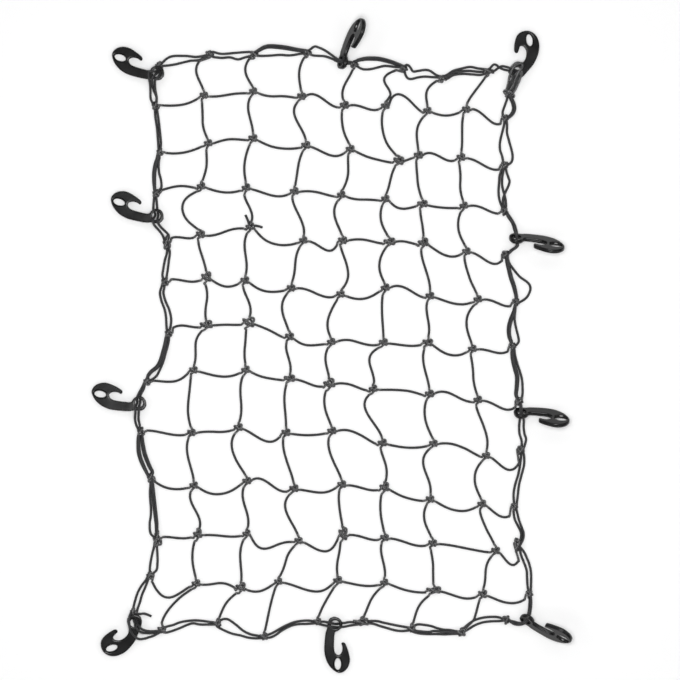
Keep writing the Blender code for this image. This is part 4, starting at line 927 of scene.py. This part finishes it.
def hook_mesh(row, material):
    """A moulded hook: the rim section carried round the outline, a rounder one round each
    hole, and flat lands filled between them on both faces."""
    straight = row[1] == "straight"
    outline = closed_curve(STRAIGHT_HOOK if straight else BENT_HOOK, OUTLINE_POINTS)
    eye = oval(0, 0, EYE_HOLE, EYE_HOLE, 0, EYE_POINTS)
    hole = oval(*(STRAIGHT_OVAL if straight else BENT_OVAL), OVAL_POINTS)
    points, quads, lands = [], [], {1: [], -1: []}
    base = 0
    for loop, section, into in ((outline, RIM, 1), (eye, HOLE_RIM, -1), (hole, OVAL_RIM, -1)):
        count = len(loop)
        square = inward(loop) * into
        limit = room(loop)[:, None] if into == 1 else 1.0
        rings = np.stack([np.insert(loop + square * np.minimum(drawn, limit), 2, height, axis=1)
                          for drawn, height in section])
        points.append(rings.reshape(-1, 3))
        number = base + np.arange(len(section) * count).reshape(len(section), count)
        after = np.roll(number, -1, axis=1)
        sides = np.stack((number[:-1], number[1:], after[1:], after[:-1]), axis=2)
        quads.append((sides if into == 1 else sides[:, :, ::-1]).reshape(-1, 4))
        lands[1].append(number[0])
        lands[-1].append(number[-1])
        base += len(section) * count
    points = np.concatenate(points)
    faces = [tuple(q) for q in np.concatenate(quads).tolist()]
    for way, loops in lands.items():
        index = np.concatenate(loops)
        outlines = [[(points[i, 0], points[i, 1], 0.0) for i in loop] for loop in loops]
        for tri in tessellate_polygon(outlines):
            corner = points[index[list(tri)], :2]
            turn = np.cross(corner[1] - corner[0], corner[2] - corner[0])
            faces.append(tuple(index[list(tri if turn * way > 0 else tri[::-1])].tolist()))
    middle, along, beak, out = hook_axes(row)
    world = points[:, :1] * along + points[:, 1:2] * beak + points[:, 2:] * out
    world = world + middle - np.array((0.0, 0.0, world[:, 2].min()))
    if np.dot(np.cross(along, beak), out) < 0:
        faces = [face[::-1] for face in faces]
    mesh = bpy.data.meshes.new(row[0])
    mesh.from_pydata(world.tolist(), [], faces)
    mesh.update()
    mesh.validate()
    sides = np.empty(len(mesh.polygons), dtype=np.int32)
    mesh.polygons.foreach_get("loop_total", sides)
    mesh.polygons.foreach_set("use_smooth", sides == 4)  # the lands stay flat
    mesh.materials.append(material)
    return put(row[0] + "_moulded", mesh)


nylon = moulded_nylon("moulded_black_nylon")
for row in HOOKS:
    hook = hook_mesh(row, nylon)
    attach(hook, "root")
    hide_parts(row[0])

# ------------------------------------------------------------
# Floor, light and camera.  A pale seamless floor in plain soft studio light, seen from
# straight above.

FLOOR_HALF = 6  # metres
FLOOR_TOP = -0.0005  # half a millimetre under the net, so that the two don't fight
floor_mesh = bpy.data.meshes.new("floor")
floor_mesh.from_pydata([(x * FLOOR_HALF, y * FLOOR_HALF, FLOOR_TOP)
                        for x, y in ((-1, -1), (1, -1), (1, 1), (-1, 1))], [], [(0, 1, 2, 3)])
paper, _, shader = new_material("white_paper")
shader.inputs["Base Color"].default_value = linear("#F4F4F4")
shader.inputs["Roughness"].default_value = 0.9
floor_mesh.materials.append(paper)
floor = put("floor", floor_mesh)

world = bpy.data.worlds.new("studio")
world.use_nodes = True
light = world.node_tree.nodes["Background"].inputs
light["Color"].default_value = (1.0, 1.0, 1.0, 1.0)
light["Strength"].default_value = 0.2
bpy.context.scene.world = world
# A large softbox hangs straight above and lights the crown of every cord, so that its
# flanks fall off dark; six weaker ones stand round the net and draw light along the
# rounded edges of the hooks.
# Distance from the middle, height, width and depth (metres), and watts.
ROUND_ABOUT = (2.5, 2.5, 1.9, 0.8, 7.5)
OVERHEAD = (0.0, 3.4, 1.3, 1.3, 86.0)
for k, (away, tall, wide, deep, watts) in enumerate([ROUND_ABOUT] * 6 + [OVERHEAD]):
    turn = math.pi / 3 * k
    lamp = bpy.data.lights.new("softbox_%d" % k, "AREA")
    lamp.shape = "RECTANGLE"
    lamp.size, lamp.size_y = wide, deep
    lamp.energy = watts
    softbox = put("softbox_%d" % k, lamp)
    softbox.location = (away * math.cos(turn), away * math.sin(turn), tall)
    softbox.rotation_euler = (math.atan2(away, tall), 0.0, turn + math.pi / 2)
bpy.context.scene.view_settings.view_transform = "Standard"

CAMERA_HEIGHT = 6.0  # metres
view = bpy.data.cameras.new("above")
view.sensor_width = 36.0
view.lens = 198.5
view.clip_end = 50.0
camera = put("above", view)
camera.location = place((340.0, 340.0), CAMERA_HEIGHT)
bpy.context.scene.camera = camera
